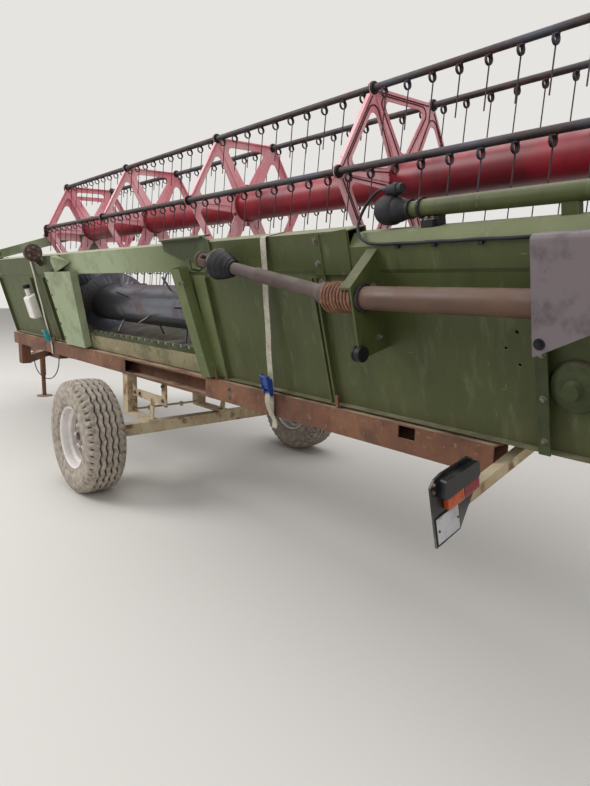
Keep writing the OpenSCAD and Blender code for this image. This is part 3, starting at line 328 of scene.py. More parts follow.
looks = {
    # Alkyd enamel sprayed on sheet steel, decades in the weather: dull, streaked, dusty on top; its dark
    # olive base is painted shade, the green as it looks in shadow
    "shadedWeatheredGreenEnamel": {
        "colour": "#434a26", "rough": 0.46, "shader": {"Specular IOR Level": 0.32},
        "layers": [
            stain("#4f5631", 900, 0.42, 0.62, 0.85, rough=0.58),
            stain("#31361f", 130, 0.5, 0.74, 0.55, stretch=(1, 1, 0.12)),
            stain("#2d311d", 40, 0.6, 0.74, 0.45, stretch=(1, 1, 0.05)),
            stain("#6c7355", 55, 0.57, 0.74, 0.45, stretch=(1, 1, 0.07)),
            stain("#858a6e", 14, 0.66, 0.76, 0.45, stretch=(1, 1, 0.03)),
            stain("#8f9077", 6, 0.71, 0.74, 0.6, stretch=(0.05, 1, 0.8)),
            stain("#5a3f2f", 22, 0.69, 0.71, 0.8, rough=0.9, detail=8),
            stain("#57523c", 110, 0.3, 0.65, 0.65, heights=(0.86, 1.04), rough=0.9),
            stain("#8b8168", 60, 0.3, 0.55, 0.75, edge=4, rough=0.8),
            stain("#8a846d", 160, 0.3, 0.6, 0.75, up=0.3, rough=0.95),
        ],
        "bumps": [(260, 2.4, 0.5), (5, 0.1, 0.3)],
    },
    # The same enamel lightened to a grey green: painted sunlight on the beam, posts and reel arms, most at
    # the left end
    "sunlitGreenEnamel": {
        "colour": "#5b643c", "rough": 0.55, "shader": {"Specular IOR Level": 0.35},
        "layers": [
            stain("#6f7852", 600, 0.4, 0.6, 0.85, rough=0.65),
            # painted sunlight: a pale grey green over the left end that fades out along the header
            stain("#9ca688", 400, 0.25, 0.5, 0.9, leftOf=(0.5, 1.45), rough=0.75),
            stain("#414c2f", 90, 0.54, 0.74, 0.55, stretch=(0.3, 1, 0.3)),
            stain("#a0a48c", 60, 0.6, 0.8, 0.35, rough=0.85),
            stain("#634636", 22, 0.68, 0.705, 0.85, rough=0.9, detail=8),
            stain("#5a4433", 30, 0.4, 0.58, 0.8, edge=4, rough=0.85),
            stain("#a09c86", 160, 0.3, 0.6, 0.65, up=0.3, rough=0.95),
        ],
        "bumps": [(220, 1.4, 0.45), (5, 0.1, 0.3)],
    },
    # The same enamel under a tan crust of chaff dust, on the ledge below the opening
    "chaffCoatedEnamel": {
        "colour": "#6c6d50", "rough": 0.8,
        "layers": [
            stain("#948a6c", 220, 0.36, 0.56, 0.9, rough=0.95),
            stain("#b0a184", 45, 0.54, 0.72, 0.6, stretch=(0.3, 1, 1)),
            stain("#454a31", 60, 0.54, 0.7, 0.7, rough=0.6),
            stain("#5f4533", 15, 0.66, 0.7, rough=0.9, detail=8),
        ],
        "bumps": [(40, 0.8, 0.4), (5, 0.3, 0.5)],
    },
    # Table floor scoured bare by the crop: bright steel with rust and rests of paint, its dark base painted
    # shade inside the opening
    "scouredTraySteel": {
        "colour": "#4a4b4e", "rough": 0.38, "shader": {"Metallic": 0.6},
        "layers": [
            stain("#4b553a", 420, 0.46, 0.58, 0.9, rough=0.6),
            stain("#634636", 120, 0.5, 0.68, 0.8, rough=0.85, detail=7),
            stain("#7c7261", 90, 0.5, 0.7, 0.5, up=0.6, rough=0.95),
        ],
        "bumps": [(200, 1.2, 0.4), (5, 0.12, 0.3)],
    },
    # The same enamel where oil, soot and crop dust stick to it
    "sootyGreenEnamel": {
        "colour": "#383f25", "rough": 0.62, "shader": {"Specular IOR Level": 0.3},
        "layers": [
            stain("#525d3c", 300, 0.45, 0.65, 0.8),
            stain("#24271b", 60, 0.5, 0.7, 0.6),
            stain("#563f2f", 26, 0.66, 0.7, 0.7, rough=0.9, detail=8),
            stain("#857d68", 120, 0.3, 0.6, 0.8, up=0.3, rough=0.95),
        ],
        "bumps": [(40, 0.5, 0.4), (5, 0.2, 0.4)],
    },
    # Red enamel on pressed steel, pink on the discs, partly bleached and partly painted sunlight, and a
    # deeper red near the tube
    "bleachedSunlitRedEnamel": {
        "colour": "#e78f9a", "rough": 0.5,
        "layers": [
            stain("#f7c3c8", 600, 0.36, 0.56, 0.9, rough=0.65),
            stain("#b2404f", 110, 0.54, 0.74, 0.45, stretch=(1, 1, 0.3)),
            # a deeper red towards the reel's middle line, on the tube
            stain("#98202f", 500, 0.2, 0.3, reelTube=0.116, rough=0.42),
            stain("#6c1924", 340, 0.46, 0.62, 0.85, reelTube=0.116),
            stain("#6a4238", 14, 0.68, 0.71, 0.8, rough=0.9, detail=8),
            stain("#7a3038", 60, 0.3, 0.5, 0.6, edge=4, rough=0.7),
            stain("#e3a9a6", 140, 0.4, 0.62, 0.6, up=0.4, rough=0.9),
        ],
        "bumps": [(150, 0.8, 0.4), (5, 0.1, 0.3)],
    },
    # Dark red-brown along the pressed lines of the discs
    "darkPressedLine": {
        "colour": "#5e2129", "rough": 0.8,
        "layers": [
            stain("#3a1f20", 60, 0.45, 0.62, 0.8, rough=0.9),
            stain("#a24a54", 90, 0.54, 0.7, 0.6),
        ],
        "bumps": [(5, 0.2, 0.4)],
    },
    # Drawn tube and spring wire with a thin brown rust and old oil
    "brownedSpringSteel": {
        "colour": "#332a2c", "rough": 0.55, "shader": {"Metallic": 0.35},
        "layers": [
            stain("#5a4340", 60, 0.45, 0.65, 0.7, rough=0.8),
            stain("#4d5564", 300, 0.5, 0.66, 0.5),
        ],
        "bumps": [(4, 0.2, 0.5)],
    },
    # Hot-rolled section painted once and rusted through: an even brown with pale dust on top
    "rustedSection": {
        "colour": "#66422f", "rough": 0.82,
        "layers": [
            stain("#7f5840", 420, 0.42, 0.62, 0.9),
            stain("#45302a", 110, 0.48, 0.68, 0.75),
            stain("#a57e5c", 26, 0.6, 0.72, 0.5, detail=7),
            stain("#5a2f22", 60, 0.56, 0.7, 0.6, stretch=(1, 1, 0.2)),
            stain("#3d2a23", 25, 0.4, 0.6, 0.6, edge=4),
            stain("#b7a387", 200, 0.3, 0.6, 0.85, up=0.3, rough=0.95),
        ],
        "bumps": [(8, 0.5, 0.5), (60, 0.6, 0.3)],
    },
    # Pale cream on the axle and the light bar, painted sunlight over the axle's brown steel, stained brown
    # from its chips and edges
    "sunlitCreamPaint": {
        "colour": "#a8916f", "rough": 0.7,
        "layers": [
            stain("#cbbb9b", 380, 0.36, 0.56, 0.9),
            stain("#73503a", 90, 0.55, 0.66, 0.9, rough=0.9, detail=8),
            stain("#8d7250", 50, 0.52, 0.74, 0.5, stretch=(1, 1, 0.2)),
            stain("#59392a", 30, 0.35, 0.55, 0.85, edge=5, rough=0.9),
            stain("#c9bda4", 160, 0.3, 0.6, 0.7, up=0.3, rough=0.95),
        ],
        "bumps": [(8, 0.3, 0.4), (60, 0.5, 0.3)],
    },
    # Tyre rubber, pale partly from field dust that lies on the ribs and partly as painted sunlight
    "dustySunlitRubber": {
        "colour": "#6f665e", "rough": 0.85,
        "layers": [
            stain("#978c80", 320, 0.36, 0.62, 0.7, rough=0.95),
            stain("#c6bbac", 30, 0.28, 0.7, 0.75, rough=0.95, detail=3),
            stain("#4e4742", 45, 0.56, 0.74, 0.5),
        ],
        "bumps": [(3, 0.2, 0.4), (30, 0.4, 0.3)],
    },
    # The same rubber down in the grooves and notches, darker where the dust doesn't reach and as painted
    # shade
    "grooveRubber": {
        "colour": "#2f2b29", "rough": 0.9,
        "layers": [stain("#6b6058", 22, 0.5, 0.7, 0.7, rough=0.95)],
        "bumps": [(3, 0.2, 0.4)],
    },
    # White enamel on a steel rim with splashed soil
    "whiteRimEnamel": {
        "colour": "#dfdad8", "rough": 0.42,
        "layers": [
            stain("#c4bbb4", 200, 0.45, 0.65, 0.7, rough=0.7),
            stain("#9d8a7a", 50, 0.6, 0.78, 0.6, rough=0.9, detail=8),
            stain("#7d6553", 20, 0.4, 0.6, 0.6, edge=3, rough=0.9),
        ],
        "bumps": [(30, 0.2, 0.3)],
    },
    # The same enamel deep in the rim, darkened brown: painted shade in the deep dish, with soil and brake
    # dust
    "shadedSoiledRimEnamel": {
        "colour": "#8d7f75", "rough": 0.8,
        "layers": [
            stain("#5b4a40", 90, 0.4, 0.6, 0.85, rough=0.95),
            stain("#c9c0b9", 60, 0.58, 0.72, 0.6, rough=0.6),
            stain("#6e452f", 18, 0.6, 0.7, 0.8, rough=0.9, detail=8),
        ],
        "bumps": [(6, 0.2, 0.4)],
    },
    # Auger and knife steel, polished by the crop, with a bloom of rust; its dark base is painted shade inside
    # the opening
    "cropPolishedSteel": {
        "colour": "#6d6f77", "rough": 0.3, "shader": {"Metallic": 0.85},
        "layers": [
            stain("#70523f", 160, 0.52, 0.7, 0.7, rough=0.75),
            stain("#4f3a2e", 24, 0.62, 0.72, 0.7, rough=0.9, detail=7),
            # bluish patches: a painted sheen on the polished steel
            stain("#4d5670", 500, 0.45, 0.65, 0.6),
        ],
        "bumps": [(6, 0.1, 0.3)],
    },
    # Hard chrome on the lift rods
    "chromedRod": {
        "colour": "#cfd0d2", "rough": 0.12, "shader": {"Metallic": 1.0},
        "layers": [stain("#9a8f84", 40, 0.58, 0.7, 0.4, rough=0.5)],
        "bumps": [(3, 0.01, 0.1)],
    },
    # Brown polyethylene guard tube, scuffed along its length and dusty on top
    "brownGuardPlastic": {
        "colour": "#4c3425", "rough": 0.46,
        "layers": [
            stain("#624634", 200, 0.42, 0.62, 0.7, rough=0.7),
            stain("#46332a", 25, 0.56, 0.7, 0.5, stretch=(0.1, 1, 1)),
            stain("#84705f", 90, 0.35, 0.6, 0.35, up=0.3, rough=0.95),
        ],
        "bumps": [(5, 0.12, 0.3)],
    },
    # Grey polyethylene tube of the parked shaft under a mauve coat of dust
    "dustyShaftTube": {
        "colour": "#433733", "rough": 0.7,
        "layers": [
            stain("#5c4e4a", 160, 0.42, 0.6, 0.8, rough=0.9),
            stain("#322928", 20, 0.58, 0.7, 0.5, stretch=(0.15, 1, 1)),
            stain("#8f857c", 120, 0.3, 0.6, 0.5, up=0.2, rough=0.95),
        ],
        "bumps": [(5, 0.12, 0.3)],
    },
    # Round spring wire of the coil with an orange film of rust
    "rustySpringWire": {
        "colour": "#6a4735", "rough": 0.7, "shader": {"Metallic": 0.1},
        "layers": [
            stain("#946a50", 30, 0.45, 0.62, 0.8),
            stain("#563524", 10, 0.52, 0.7, 0.7),
        ],
        "bumps": [(3, 0.25, 0.5)],
    },
    # Forged and cast iron with a thick brown scale of rust and grease
    "rustyForging": {
        "colour": "#45342c", "rough": 0.75, "shader": {"Metallic": 0.1},
        "layers": [
            stain("#665044", 60, 0.42, 0.62, 0.8, rough=0.9),
            stain("#2e221e", 25, 0.52, 0.68, 0.8, rough=0.5),
        ],
        "bumps": [(4, 0.3, 0.5), (30, 0.6, 0.3)],
    },
    # Moulded black rubber and polyethylene: boot, clamps, cables
    "blackRubber": {
        "colour": "#161518", "rough": 0.5, "shader": {"Specular IOR Level": 0.25},
        "layers": [
            stain("#29282d", 120, 0.42, 0.62, 0.8, rough=0.6),
            stain("#554e49", 80, 0.45, 0.7, 0.45, up=0.3, rough=0.9),
            stain("#4a4542", 30, 0.58, 0.74, 0.4, rough=0.8),
        ],
        "bumps": [(5, 0.15, 0.3), (40, 0.4, 0.3)],
    },
    # Grey gel-coated cover with a lavender cast and dust stains; its dark grey base is painted shade
    "greyGelCoat": {
        "colour": "#6e6467", "rough": 0.5, "shader": {"Specular IOR Level": 0.35},
        "layers": [
            stain("#7b7174", 500, 0.42, 0.6, 0.8, rough=0.6),
            stain("#4c4346", 80, 0.54, 0.7, 0.7, rough=0.65),
            stain("#483f41", 34, 0.66, 0.74, 0.6),
            stain("#5f5251", 40, 0.62, 0.74, 0.5, stretch=(1, 1, 0.12)),
            stain("#554842", 40, 0.35, 0.55, 0.75, edge=6, rough=0.8),
        ],
        "bumps": [(250, 0.8, 0.3), (4, 0.08, 0.3)],
    },
    # Blow-moulded polyethylene can, milky, with a greyer neck
    "milkyPolyethylene": {
        "colour": "#e4e0da", "rough": 0.38, "shader": {"Subsurface Weight": 0.15, "Subsurface Scale": 0.02},
        "layers": [stain("#bdb5a8", 60, 0.5, 0.7, 0.5, rough=0.7)],
        "bumps": [(40, 0.3, 0.3)],
    },
    # Polyester webbing, off-white and grimy, its grey partly painted shade, with a weave that is drawn coarse
    # enough to show
    "grimyShadedWebbing": {
        "colour": "#a9a291", "rough": 0.9, "shader": {"Sheen Weight": 0.2},
        "layers": [
            stain("#79765e", 90, 0.42, 0.66, 0.75),
            stain("#dcd6ca", 3, 0.5, 0.6, 0.5, stretch=(0.25, 1, 1)),
        ],
        "bumps": [(3, 0.4, 0.6)],
    },
    # Acrylic lamp glass in orange and red, dulled by dust
    "orangeAcrylic": {
        "colour": "#c4501b", "rough": 0.25, "shader": {"Transmission Weight": 0.1, "Coat Weight": 0.4},
        "layers": [stain("#96401f", 60, 0.45, 0.6, 0.6, rough=0.45)],
        "bumps": [(4, 0.2, 0.4)],
    },
    "redAcrylic": {
        "colour": "#8c1c1e", "rough": 0.25, "shader": {"Transmission Weight": 0.1, "Coat Weight": 0.4},
        "layers": [stain("#5e1d22", 60, 0.45, 0.6, 0.6, rough=0.45)],
        "bumps": [(4, 0.2, 0.4)],
    },
    # Black moulded lamp board with dust that thickens downwards
    "blackLampBoard": {
        "colour": "#161619", "rough": 0.36,
        "layers": [
            stain("#4a4543", 90, 0.52, 0.74, 0.5, rough=0.8),
            stain("#8d857c", 60, 0.3, 0.6, 0.6, heights=(0.62, 0.72), rough=0.9),
        ],
        "bumps": [(5, 0.1, 0.3)],
    },
    # Painted aluminium sheet, grey white and sun-chalked
    "chalkyPlate": {
        "colour": "#bdbec0", "rough": 0.6,
        "layers": [
            stain("#a5a29f", 40, 0.45, 0.66, 0.7, rough=0.8),
            stain("#7d756c", 18, 0.6, 0.72, 0.5),
        ],
        "bumps": [(20, 0.15, 0.3)],
    },
    # Powder-coated ratchet buckles
    "turquoiseRatchetPaint": {
        "colour": "#2f9fb4", "rough": 0.4,
        "layers": [stain("#4a5a60", 20, 0.55, 0.7, 0.7, rough=0.6)],
        "bumps": [(6, 0.1, 0.3)],
    },
    "blueRatchetPaint": {
        "colour": "#22418f", "rough": 0.4,
        "layers": [stain("#3c3f4c", 20, 0.55, 0.7, 0.7, rough=0.6)],
        "bumps": [(6, 0.1, 0.3)],
    },
    # Zinc-plated bolts gone dull and rusty
    "dullZinc": {
        "colour": "#807c73", "rough": 0.5, "shader": {"Metallic": 0.7},
        "layers": [stain("#5f4636", 15, 0.46, 0.62, 0.85, rough=0.9)],
        "bumps": [(3, 0.1, 0.3)],
    },
}
finishes = {name: makeFinish(name, look) for name, look in looks.items()}
print("finishes made:", len(finishes))

wornBy = {
    "shadedWeatheredGreenEnamel": ["wall_left", "wall_right", "end_plate_left", "end_plate_right", "shaft_bracket",
                             "divider_left", "divider_right", "top_tube"],
    "sunlitGreenEnamel": ["top_beam", "feeder_posts", "reel_arm_left", "reel_arm_right"],
    "sootyGreenEnamel": ["stripper_bar", "cutter_bar", "shaft_hook", "end_dish"],
    "chaffCoatedEnamel": ["bottom_beam"],
    "scouredTraySteel": ["table_floor"],
    "bleachedSunlitRedEnamel": ["reel_frame", "control_disc"],
    "rustedSection": ["rail_rear", "rail_front", "cross_frame", "drawbar", "jack"],
    "sunlitCreamPaint": ["axle", "light_bar"],
    "cropPolishedSteel": ["knife", "auger_tube", "auger_flights", "tow_eye"],
    "chromedRod": ["lift_rod_left", "lift_rod_right"],
    "brownGuardPlastic": ["shaft_guard"],
    "rustyForging": ["round_housing"],
    "blackRubber": ["tube_clamp"],
    "greyGelCoat": ["drive_cover"],
    "blackLampBoard": ["lamp_board"],
    "dullZinc": ["lift_barrel_left", "lift_barrel_right"],
}
for finishName, worn in wornBy.items():
    for nodeName in worn:
        mesh = nodes[nodeName].data
        mesh.materials.clear()
        mesh.materials.append(finishes[finishName])
print("nodes finished")

# Cables: the routes of the part, in millimetres from the table's middle and from the trailer's
topCable = {
    "route": [(2238.8, 85, 888), (2222, 85, 890), (2200, 85, 889), (2178, 82, 880), (2156, 75, 863),
              (2137, 65, 841), (2124, 53, 817), (2119, 40, 795), (2121, 26, 777), (2130, 11, 759),
              (2146, -2, 742), (2168, -13, 727), (2196, -19, 715), (2230, -20, 708.5), (2280, -20, 705.5),
              (2342, -20, 706), (2420, -20, 703.5), (2502, -20, 706), (2590, -20, 703), (2682, -20, 706),
              (2790, -20, 702), (2899.4, -20, 706)],
    "radius": 0.006,
}
jackCable = {
    "route": [(-4230, -30, 508.5), (-4236, -30, 460), (-4222, -30, 380), (-4170, -30, 300), (-4080, -30, 245),
              (-3960, -30, 215), (-3820, -30, 205), (-3680, -30, 210), (-3560, -30, 232), (-3450, -30, 275),
              (-3360, -30, 335), (-3300, -30, 405), (-3276, -30, 460), (-3270, -30, 508.5)],
    "radius": 0.006,
}


def makeCable(name, cable, place, node):
    points = [place @ (Vector(point) / 1000) for point in cable["route"]]
    curve = bpy.data.curves.new(name, "CURVE")
    curve.dimensions = "3D"
    curve.bevel_depth = cable["radius"]
    curve.bevel_resolution = 4
    curve.resolution_u = 6
    curve.use_fill_caps = True
    spline = curve.splines.new("NURBS")
    spline.points.add(len(points) - 1)
    for target, point in zip(spline.points, points):
        target.co = (*point, 1)
    spline.use_endpoint_u = True
    spline.order_u = 3
    curve.materials.append(finishes["blackRubber"])
    piece = newPiece(name, curve, "unit", (node,))


makeCable("loop_cable", topCable, tableFrame, "cable_top")
makeCable("jack_cable", jackCable, trailerFrame, "cable_front")

# Tyres: a low section with wavy ribs and blocks on its shoulders
tyre = {
    "outer": 0.38,
    "crown": 0.55,          # drop of the tread towards its edges, per metre squared
    "grooves": (-0.058, -0.0195, 0.0195, 0.058),
    "grooveHalf": 0.0085,
    "grooveDepth": 0.014,
    "grooveFoot": 0.6,      # width of a groove's bottom as a share of its top
    "treadFrom": 0.35,      # the ribs are outside this radius
    "ribEdge": 0.09,        # the ribs wave inside this distance from the middle
    "wave": 0.0055,
    "steps": 240,
    "stepsPerWave": 8,
    "stepsPerBlock": 5,
    "stepsPerNotch": 2,
    "blockFrom": (0.345, 0.1),
    "blockDepth": 0.010,
    "blockWaist": 0.965,
    "sidewall": [(0.1955, 0.094), (0.209, 0.1025), (0.213, 0.112), (0.222, 0.1175), (0.224, 0.1215),
                 (0.230, 0.1215), (0.245, 0.1275), (0.268, 0.1315), (0.292, 0.1318), (0.312, 0.1295),
                 (0.318, 0.1305), (0.324, 0.128), (0.338, 0.1235), (0.352, 0.1175), (0.363, 0.1105),
                 (0.3705, 0.102)],
    "axle": Vector((0.665, 0, 0.38)),
    "side": 0.945,
}


def treadRadius(across):
    return tyre["outer"] - tyre["crown"] * across * across


def tyreProfile():
    points = [(r, -a) for r, a in tyre["sidewall"]]
    edge = tyre["grooveHalf"]
    foot = edge * tyre["grooveFoot"]
    for middle in tyre["grooves"]:
        bottom = treadRadius(middle) - tyre["grooveDepth"]
        points += [(treadRadius(middle - edge), middle - edge), (bottom, middle - foot),
                   (bottom, middle + foot), (treadRadius(middle + edge), middle + edge)]
    return points + [(r, a) for r, a in reversed(tyre["sidewall"])]


def makeTyre(name, side, body, node):
    bm = bmesh.new()
    line = [bm.verts.new((0, across, radius)) for radius, across in tyreProfile()]
    edges = [bm.edges.new(pair) for pair in zip(line, line[1:])]
    bmesh.ops.spin(bm, geom=line + edges, cent=(0, 0, 0), axis=(0, 1, 0), angle=math.tau,
                   steps=tyre["steps"], use_merge=True)
    bmesh.ops.remove_doubles(bm, verts=bm.verts, dist=1e-5)
    deep = set()
    for vert in bm.verts:
        radius = math.hypot(vert.co.x, vert.co.z)
        step = round((math.atan2(vert.co.x, vert.co.z) / math.tau) % 1 * tyre["steps"])
        across = abs(vert.co.y)
        if across < tyre["ribEdge"] and radius > tyre["treadFrom"]:
            if radius < treadRadius(across) - tyre["grooveDepth"] / 2:
                deep.add(vert)
            half = tyre["stepsPerWave"] / 2
            wave = abs(step % tyre["stepsPerWave"] - half) / (half / 2) - 1
            vert.co.y += wave * tyre["wave"]
        elif radius > tyre["blockFrom"][0] and across > tyre["blockFrom"][1]:
            if step % tyre["stepsPerBlock"] >= tyre["stepsPerNotch"]:
                continue
            shrink = (radius - tyre["blockDepth"]) / radius
            vert.co.x *= shrink
            vert.co.z *= shrink
            vert.co.y *= tyre["blockWaist"]
            deep.add(vert)
    # faces deep in the grooves and shoulder notches take the darker rubber, partly painted shade
    for face in bm.faces:
        if sum(vert in deep for vert in face.verts) > 2:
            face.material_index = 1
    place = Matrix.Translation(tyre["axle"] + Vector((0, side * tyre["side"], 0)))
    mesh = toMesh(name, bm, "dustySunlitRubber", place, sharpAngle=32)
    mesh.materials.append(finishes["grooveRubber"])
    newPiece(name, mesh, body, (node,))


makeTyre("ribbed_tyre_left", 1, "wheel_left", "tyre_left")
makeTyre("ribbed_tyre_right", -1, "wheel_right", "tyre_right")
print("tyres made")

# Bolts: a hexagon head on a washer, shared by everything that is bolted
bolt = {
    "washer": (16, 0.0155, 0.0025, 0.94),   # sides, radius, height, and its top as a share of its foot
    "head": (6, 0.0105, 0.008, 0.95),
    "shank": (10, 0.0055, 0.0025, 0.8),
    "turn": 0.7,                            # radians from one bolt to the next, so heads don't line up
}


def makeBoltMesh():
    bm = bmesh.new()
    foot = 0
    for part in ("washer", "head", "shank"):
        sides, radius, height, share = bolt[part]
        addCone(bm, Matrix.Translation((0, 0, foot + height / 2)), (radius, radius * share), height, sides)
        foot += height
    return toMesh("bolt", bm)


boltMesh = makeBoltMesh()
rear, front, right, left, upward = (0, -1, 0), (0, 1, 0), (1, 0, 0), (-1, 0, 0), (0, 0, 1)


def makeBolts(name, places, body, finish="dullZinc", place=None):  # places: (where, facing, scale)
    bm = bmesh.new()
    turned = [seated(where, facing, bolt["turn"] * number) @ Matrix.Scale(scale, 4)
              for number, (where, facing, scale) in enumerate(places)]
    addCopies(bm, boltMesh, turned)
    newPiece(name, toMesh(name, bm, finish, place), body)


def rowOf(start, end, count, facing, scale=1.0):
    start, end = Vector(start), Vector(end)
    return [(start.lerp(end, i / max(count - 1, 1)), facing, scale) for i in range(count)]


# Rims: a drop-centre rim with a rolled lip, its disc, hub, nuts and valve
rim = {
    "profile": [(-0.112, 0.2065), (-0.1105, 0.209), (-0.107, 0.2092), (-0.104, 0.206), (-0.1005, 0.198),
                (-0.096, 0.195), (-0.062, 0.1935), (-0.046, 0.171), (0.046, 0.171), (0.062, 0.1935),
                (0.096, 0.195), (0.1005, 0.198), (0.104, 0.206), (0.107, 0.2092), (0.1105, 0.209),
                (0.112, 0.2065), (0.108, 0.2035), (0.105, 0.194), (0.098, 0.19), (0.064, 0.188),
                (0.049, 0.166), (-0.049, 0.166), (-0.064, 0.188), (-0.098, 0.19), (-0.105, 0.194),
                (-0.108, 0.2035)],
    "disc": [(-0.0345, 0.031), (-0.0345, 0.094), (-0.031, 0.1), (-0.012, 0.14), (-0.009, 0.155),
             (-0.012, 0.1675), (-0.019, 0.1675), (-0.017, 0.155), (-0.02, 0.141), (-0.039, 0.1),
             (-0.042, 0.094), (-0.042, 0.031)],
    "hub": [(-0.034, 0.031), (0.07, 0.031), (0.07, 0.048), (0.03, 0.052), (0.02, 0.06), (-0.05, 0.06),
            (-0.056, 0.054), (-0.0605, 0.042), (-0.0605, 0.031)],
    "nuts": 6,
    "nutCircle": 0.077,
    "nutSeat": -0.042,
    "nutScale": 1.25,
    "valveFoot": (-0.056, 0.174),
    "valveLean": (-0.8, 0, -0.6),
    "valveRadii": (0.006, 0.004),
    "valveLong": 0.04,
}


def makeRim(name, side, body, node):
    bm = bmesh.new()
    for number, part in enumerate(("profile", "disc", "hub")):
        ring = lathe(rim[part], 64, closed=True)
        bmesh.ops.recalc_face_normals(ring, faces=ring.faces)
        # disc and hub faces take the darker enamel, painted shade deep in the dish
        for face in ring.faces:
            face.material_index = min(number, 1)
        made = bpy.data.meshes.new("rimPart")
        ring.to_mesh(made)
        ring.free()
        bm.from_mesh(made)
        bpy.data.meshes.remove(made)
    circle = arcPoints((0, 0), rim["nutCircle"], 0, 360, rim["nuts"])[:-1]
    nuts = [seated((rim["nutSeat"], *point), left) for point in circle]
    addCopies(bm, boltMesh, [nut @ Matrix.Scale(rim["nutScale"], 4) for nut in nuts])
    foot = (rim["valveFoot"][0], 0, rim["valveFoot"][1])
    addCone(bm, seated(foot, rim["valveLean"]), rim["valveRadii"], rim["valveLong"], 10)
    outward = Matrix.Rotation(math.radians(-90 if side > 0 else 90), 4, "Z")
    place = Matrix.Translation(tyre["axle"] + Vector((0, side * tyre["side"], 0))) @ outward
    mesh = toMesh(name, bm, "whiteRimEnamel", place)
    mesh.materials.append(finishes["shadedSoiledRimEnamel"])
    newPiece(name, mesh, body, (node,))


makeRim("dished_rim_left", 1, "wheel_left", "rim_left")
makeRim("dished_rim_right", -1, "wheel_right", "rim_right")
print("rims made")

# Tine bars: a tube with sprung tines under it and the crank at its left end
tineBar = {
    "left": -3.045,
    "right": 3.014,
    "count": 40,
    "pitch": 0.15,
    "ringDrop": 0.0385,       # from the bar's middle down to the coil's
    "coil": 0.0205,
    "wire": 0.0034,
    "turns": 2.25,
    "coilPitch": 0.0072,
    "steps": 30,
    "reach": 0.25,
    "crank": 0.08,
    "crankRadii": (0.024, 0.016),
    "crankX": (-3.045, -3.033),
    "pinX": (-3.062, -3.039),
    "pinRadius": 0.009,
    "endRound": 0.002,
    "tipBack": 0.8,           # how far the tip hangs behind the coil's foot, as a share of the coil
    "tipDrop": 0.004,
    "clip": ((-0.014, -0.011, -0.004), (0.014, 0.011, 0.002)),   # around the wire's upper end
    "clipRound": 0.0015,
}


def makeTineMesh():
    bm = bmesh.new()
    width = tineBar["coilPitch"] * tineBar["turns"]
    ring = bmesh.ops.create_circle(bm, cap_ends=False, segments=6, radius=tineBar["wire"])["verts"]
    bmesh.ops.rotate(bm, matrix=Matrix.Rotation(math.radians(90), 3, "X"), cent=(0, 0, 0), verts=ring)
    bmesh.ops.translate(bm, vec=(width / 2, 0, tineBar["coil"]), verts=ring)
    edges = list(bm.edges)
    coil = bmesh.ops.spin(bm, geom=ring + edges, cent=(0, 0, 0), axis=(1, 0, 0),
                          angle=-math.tau * tineBar["turns"], dvec=(-width / tineBar["steps"], 0, 0),
                          steps=tineBar["steps"])
    last = [e for e in coil["geom_last"] if isinstance(e, bmesh.types.BMEdge)]
    drawn = bmesh.ops.extrude_edge_only(bm, edges=last)["geom"]
    tip = [v for v in drawn if isinstance(v, bmesh.types.BMVert)]
    drop = tineBar["ringDrop"] - tineBar["reach"] + tineBar["tipDrop"]
    bmesh.ops.translate(bm, vec=(0, -tineBar["coil"] * tineBar["tipBack"], drop), verts=tip)
    bmesh.ops.contextual_create(bm, geom=tip)
    low, high = [(x, y, tineBar["coil"] + z) for x, y, z in tineBar["clip"]]
    addBlock(bm, low, high, tineBar["clipRound"], 1)
    bmesh.ops.translate(bm, vec=(0, 0, -tineBar["ringDrop"]), verts=bm.verts)
    return toMesh("tine", bm)


tineMesh = makeTineMesh()


def linkOutline(foot, footRadius, tip, tipRadius):  # a flat link with round ends
    middle = heading(foot, tip)
    half = math.degrees(math.acos((footRadius - tipRadius) / math.dist(foot, tip)))
    tipArc = arcPoints(tip, tipRadius, middle - half, 2 * half, 10)
    return tipArc + arcPoints(foot, footRadius, middle + half, 360 - 2 * half, 10)


def makeTineBar(name, angle, body, node):
    turned = math.radians(angle)
    centre = (0, reel["centre"][0] + reel["barCircle"] * math.cos(turned),
              reel["centre"][1] + reel["barCircle"] * math.sin(turned))
    place = tableFrame @ Matrix.Translation(centre) @ Matrix.Rotation(-tilt, 4, "X")
    radius = reel["barRadius"]
    endRound = tineBar["endRound"]
    start, end = tineBar["left"], tineBar["right"]
    bm = lathe([(start, 0), (start, radius - endRound), (start + endRound, radius),
                (end - endRound, radius), (end, radius - endRound), (end, 0)], 24)
    first = -tineBar["pitch"] * (tineBar["count"] - 1) / 2
    places = [first + number * tineBar["pitch"] for number in range(tineBar["count"])]
    addCopies(bm, tineMesh, [Matrix.Translation((x, 0, 0)) for x in places])
    shaftRadius, pinEndRadius = tineBar["crankRadii"]
    crank = linkOutline((0, 0), shaftRadius, (0, -tineBar["crank"]), pinEndRadius)
    addPlate(bm, crank, *tineBar["crankX"])
    pinFrom, pinTo = tineBar["pinX"]
    pinPlace = seated(((pinFrom + pinTo) / 2, 0, -tineBar["crank"]), right)
    addCone(bm, pinPlace, (tineBar["pinRadius"], tineBar["pinRadius"]), pinTo - pinFrom)
    newPiece(name, toMesh(name, bm, "brownedSpringSteel", place), body, (node,))


for number in range(1, reel["bars"] + 1):
    makeTineBar(f"sprung_tine_bar_{number}", reel["firstBar"] + reel["barStep"] * (number - 1),
                f"bar_{number}", f"tine_bar_{number}")
print("tine bars made")

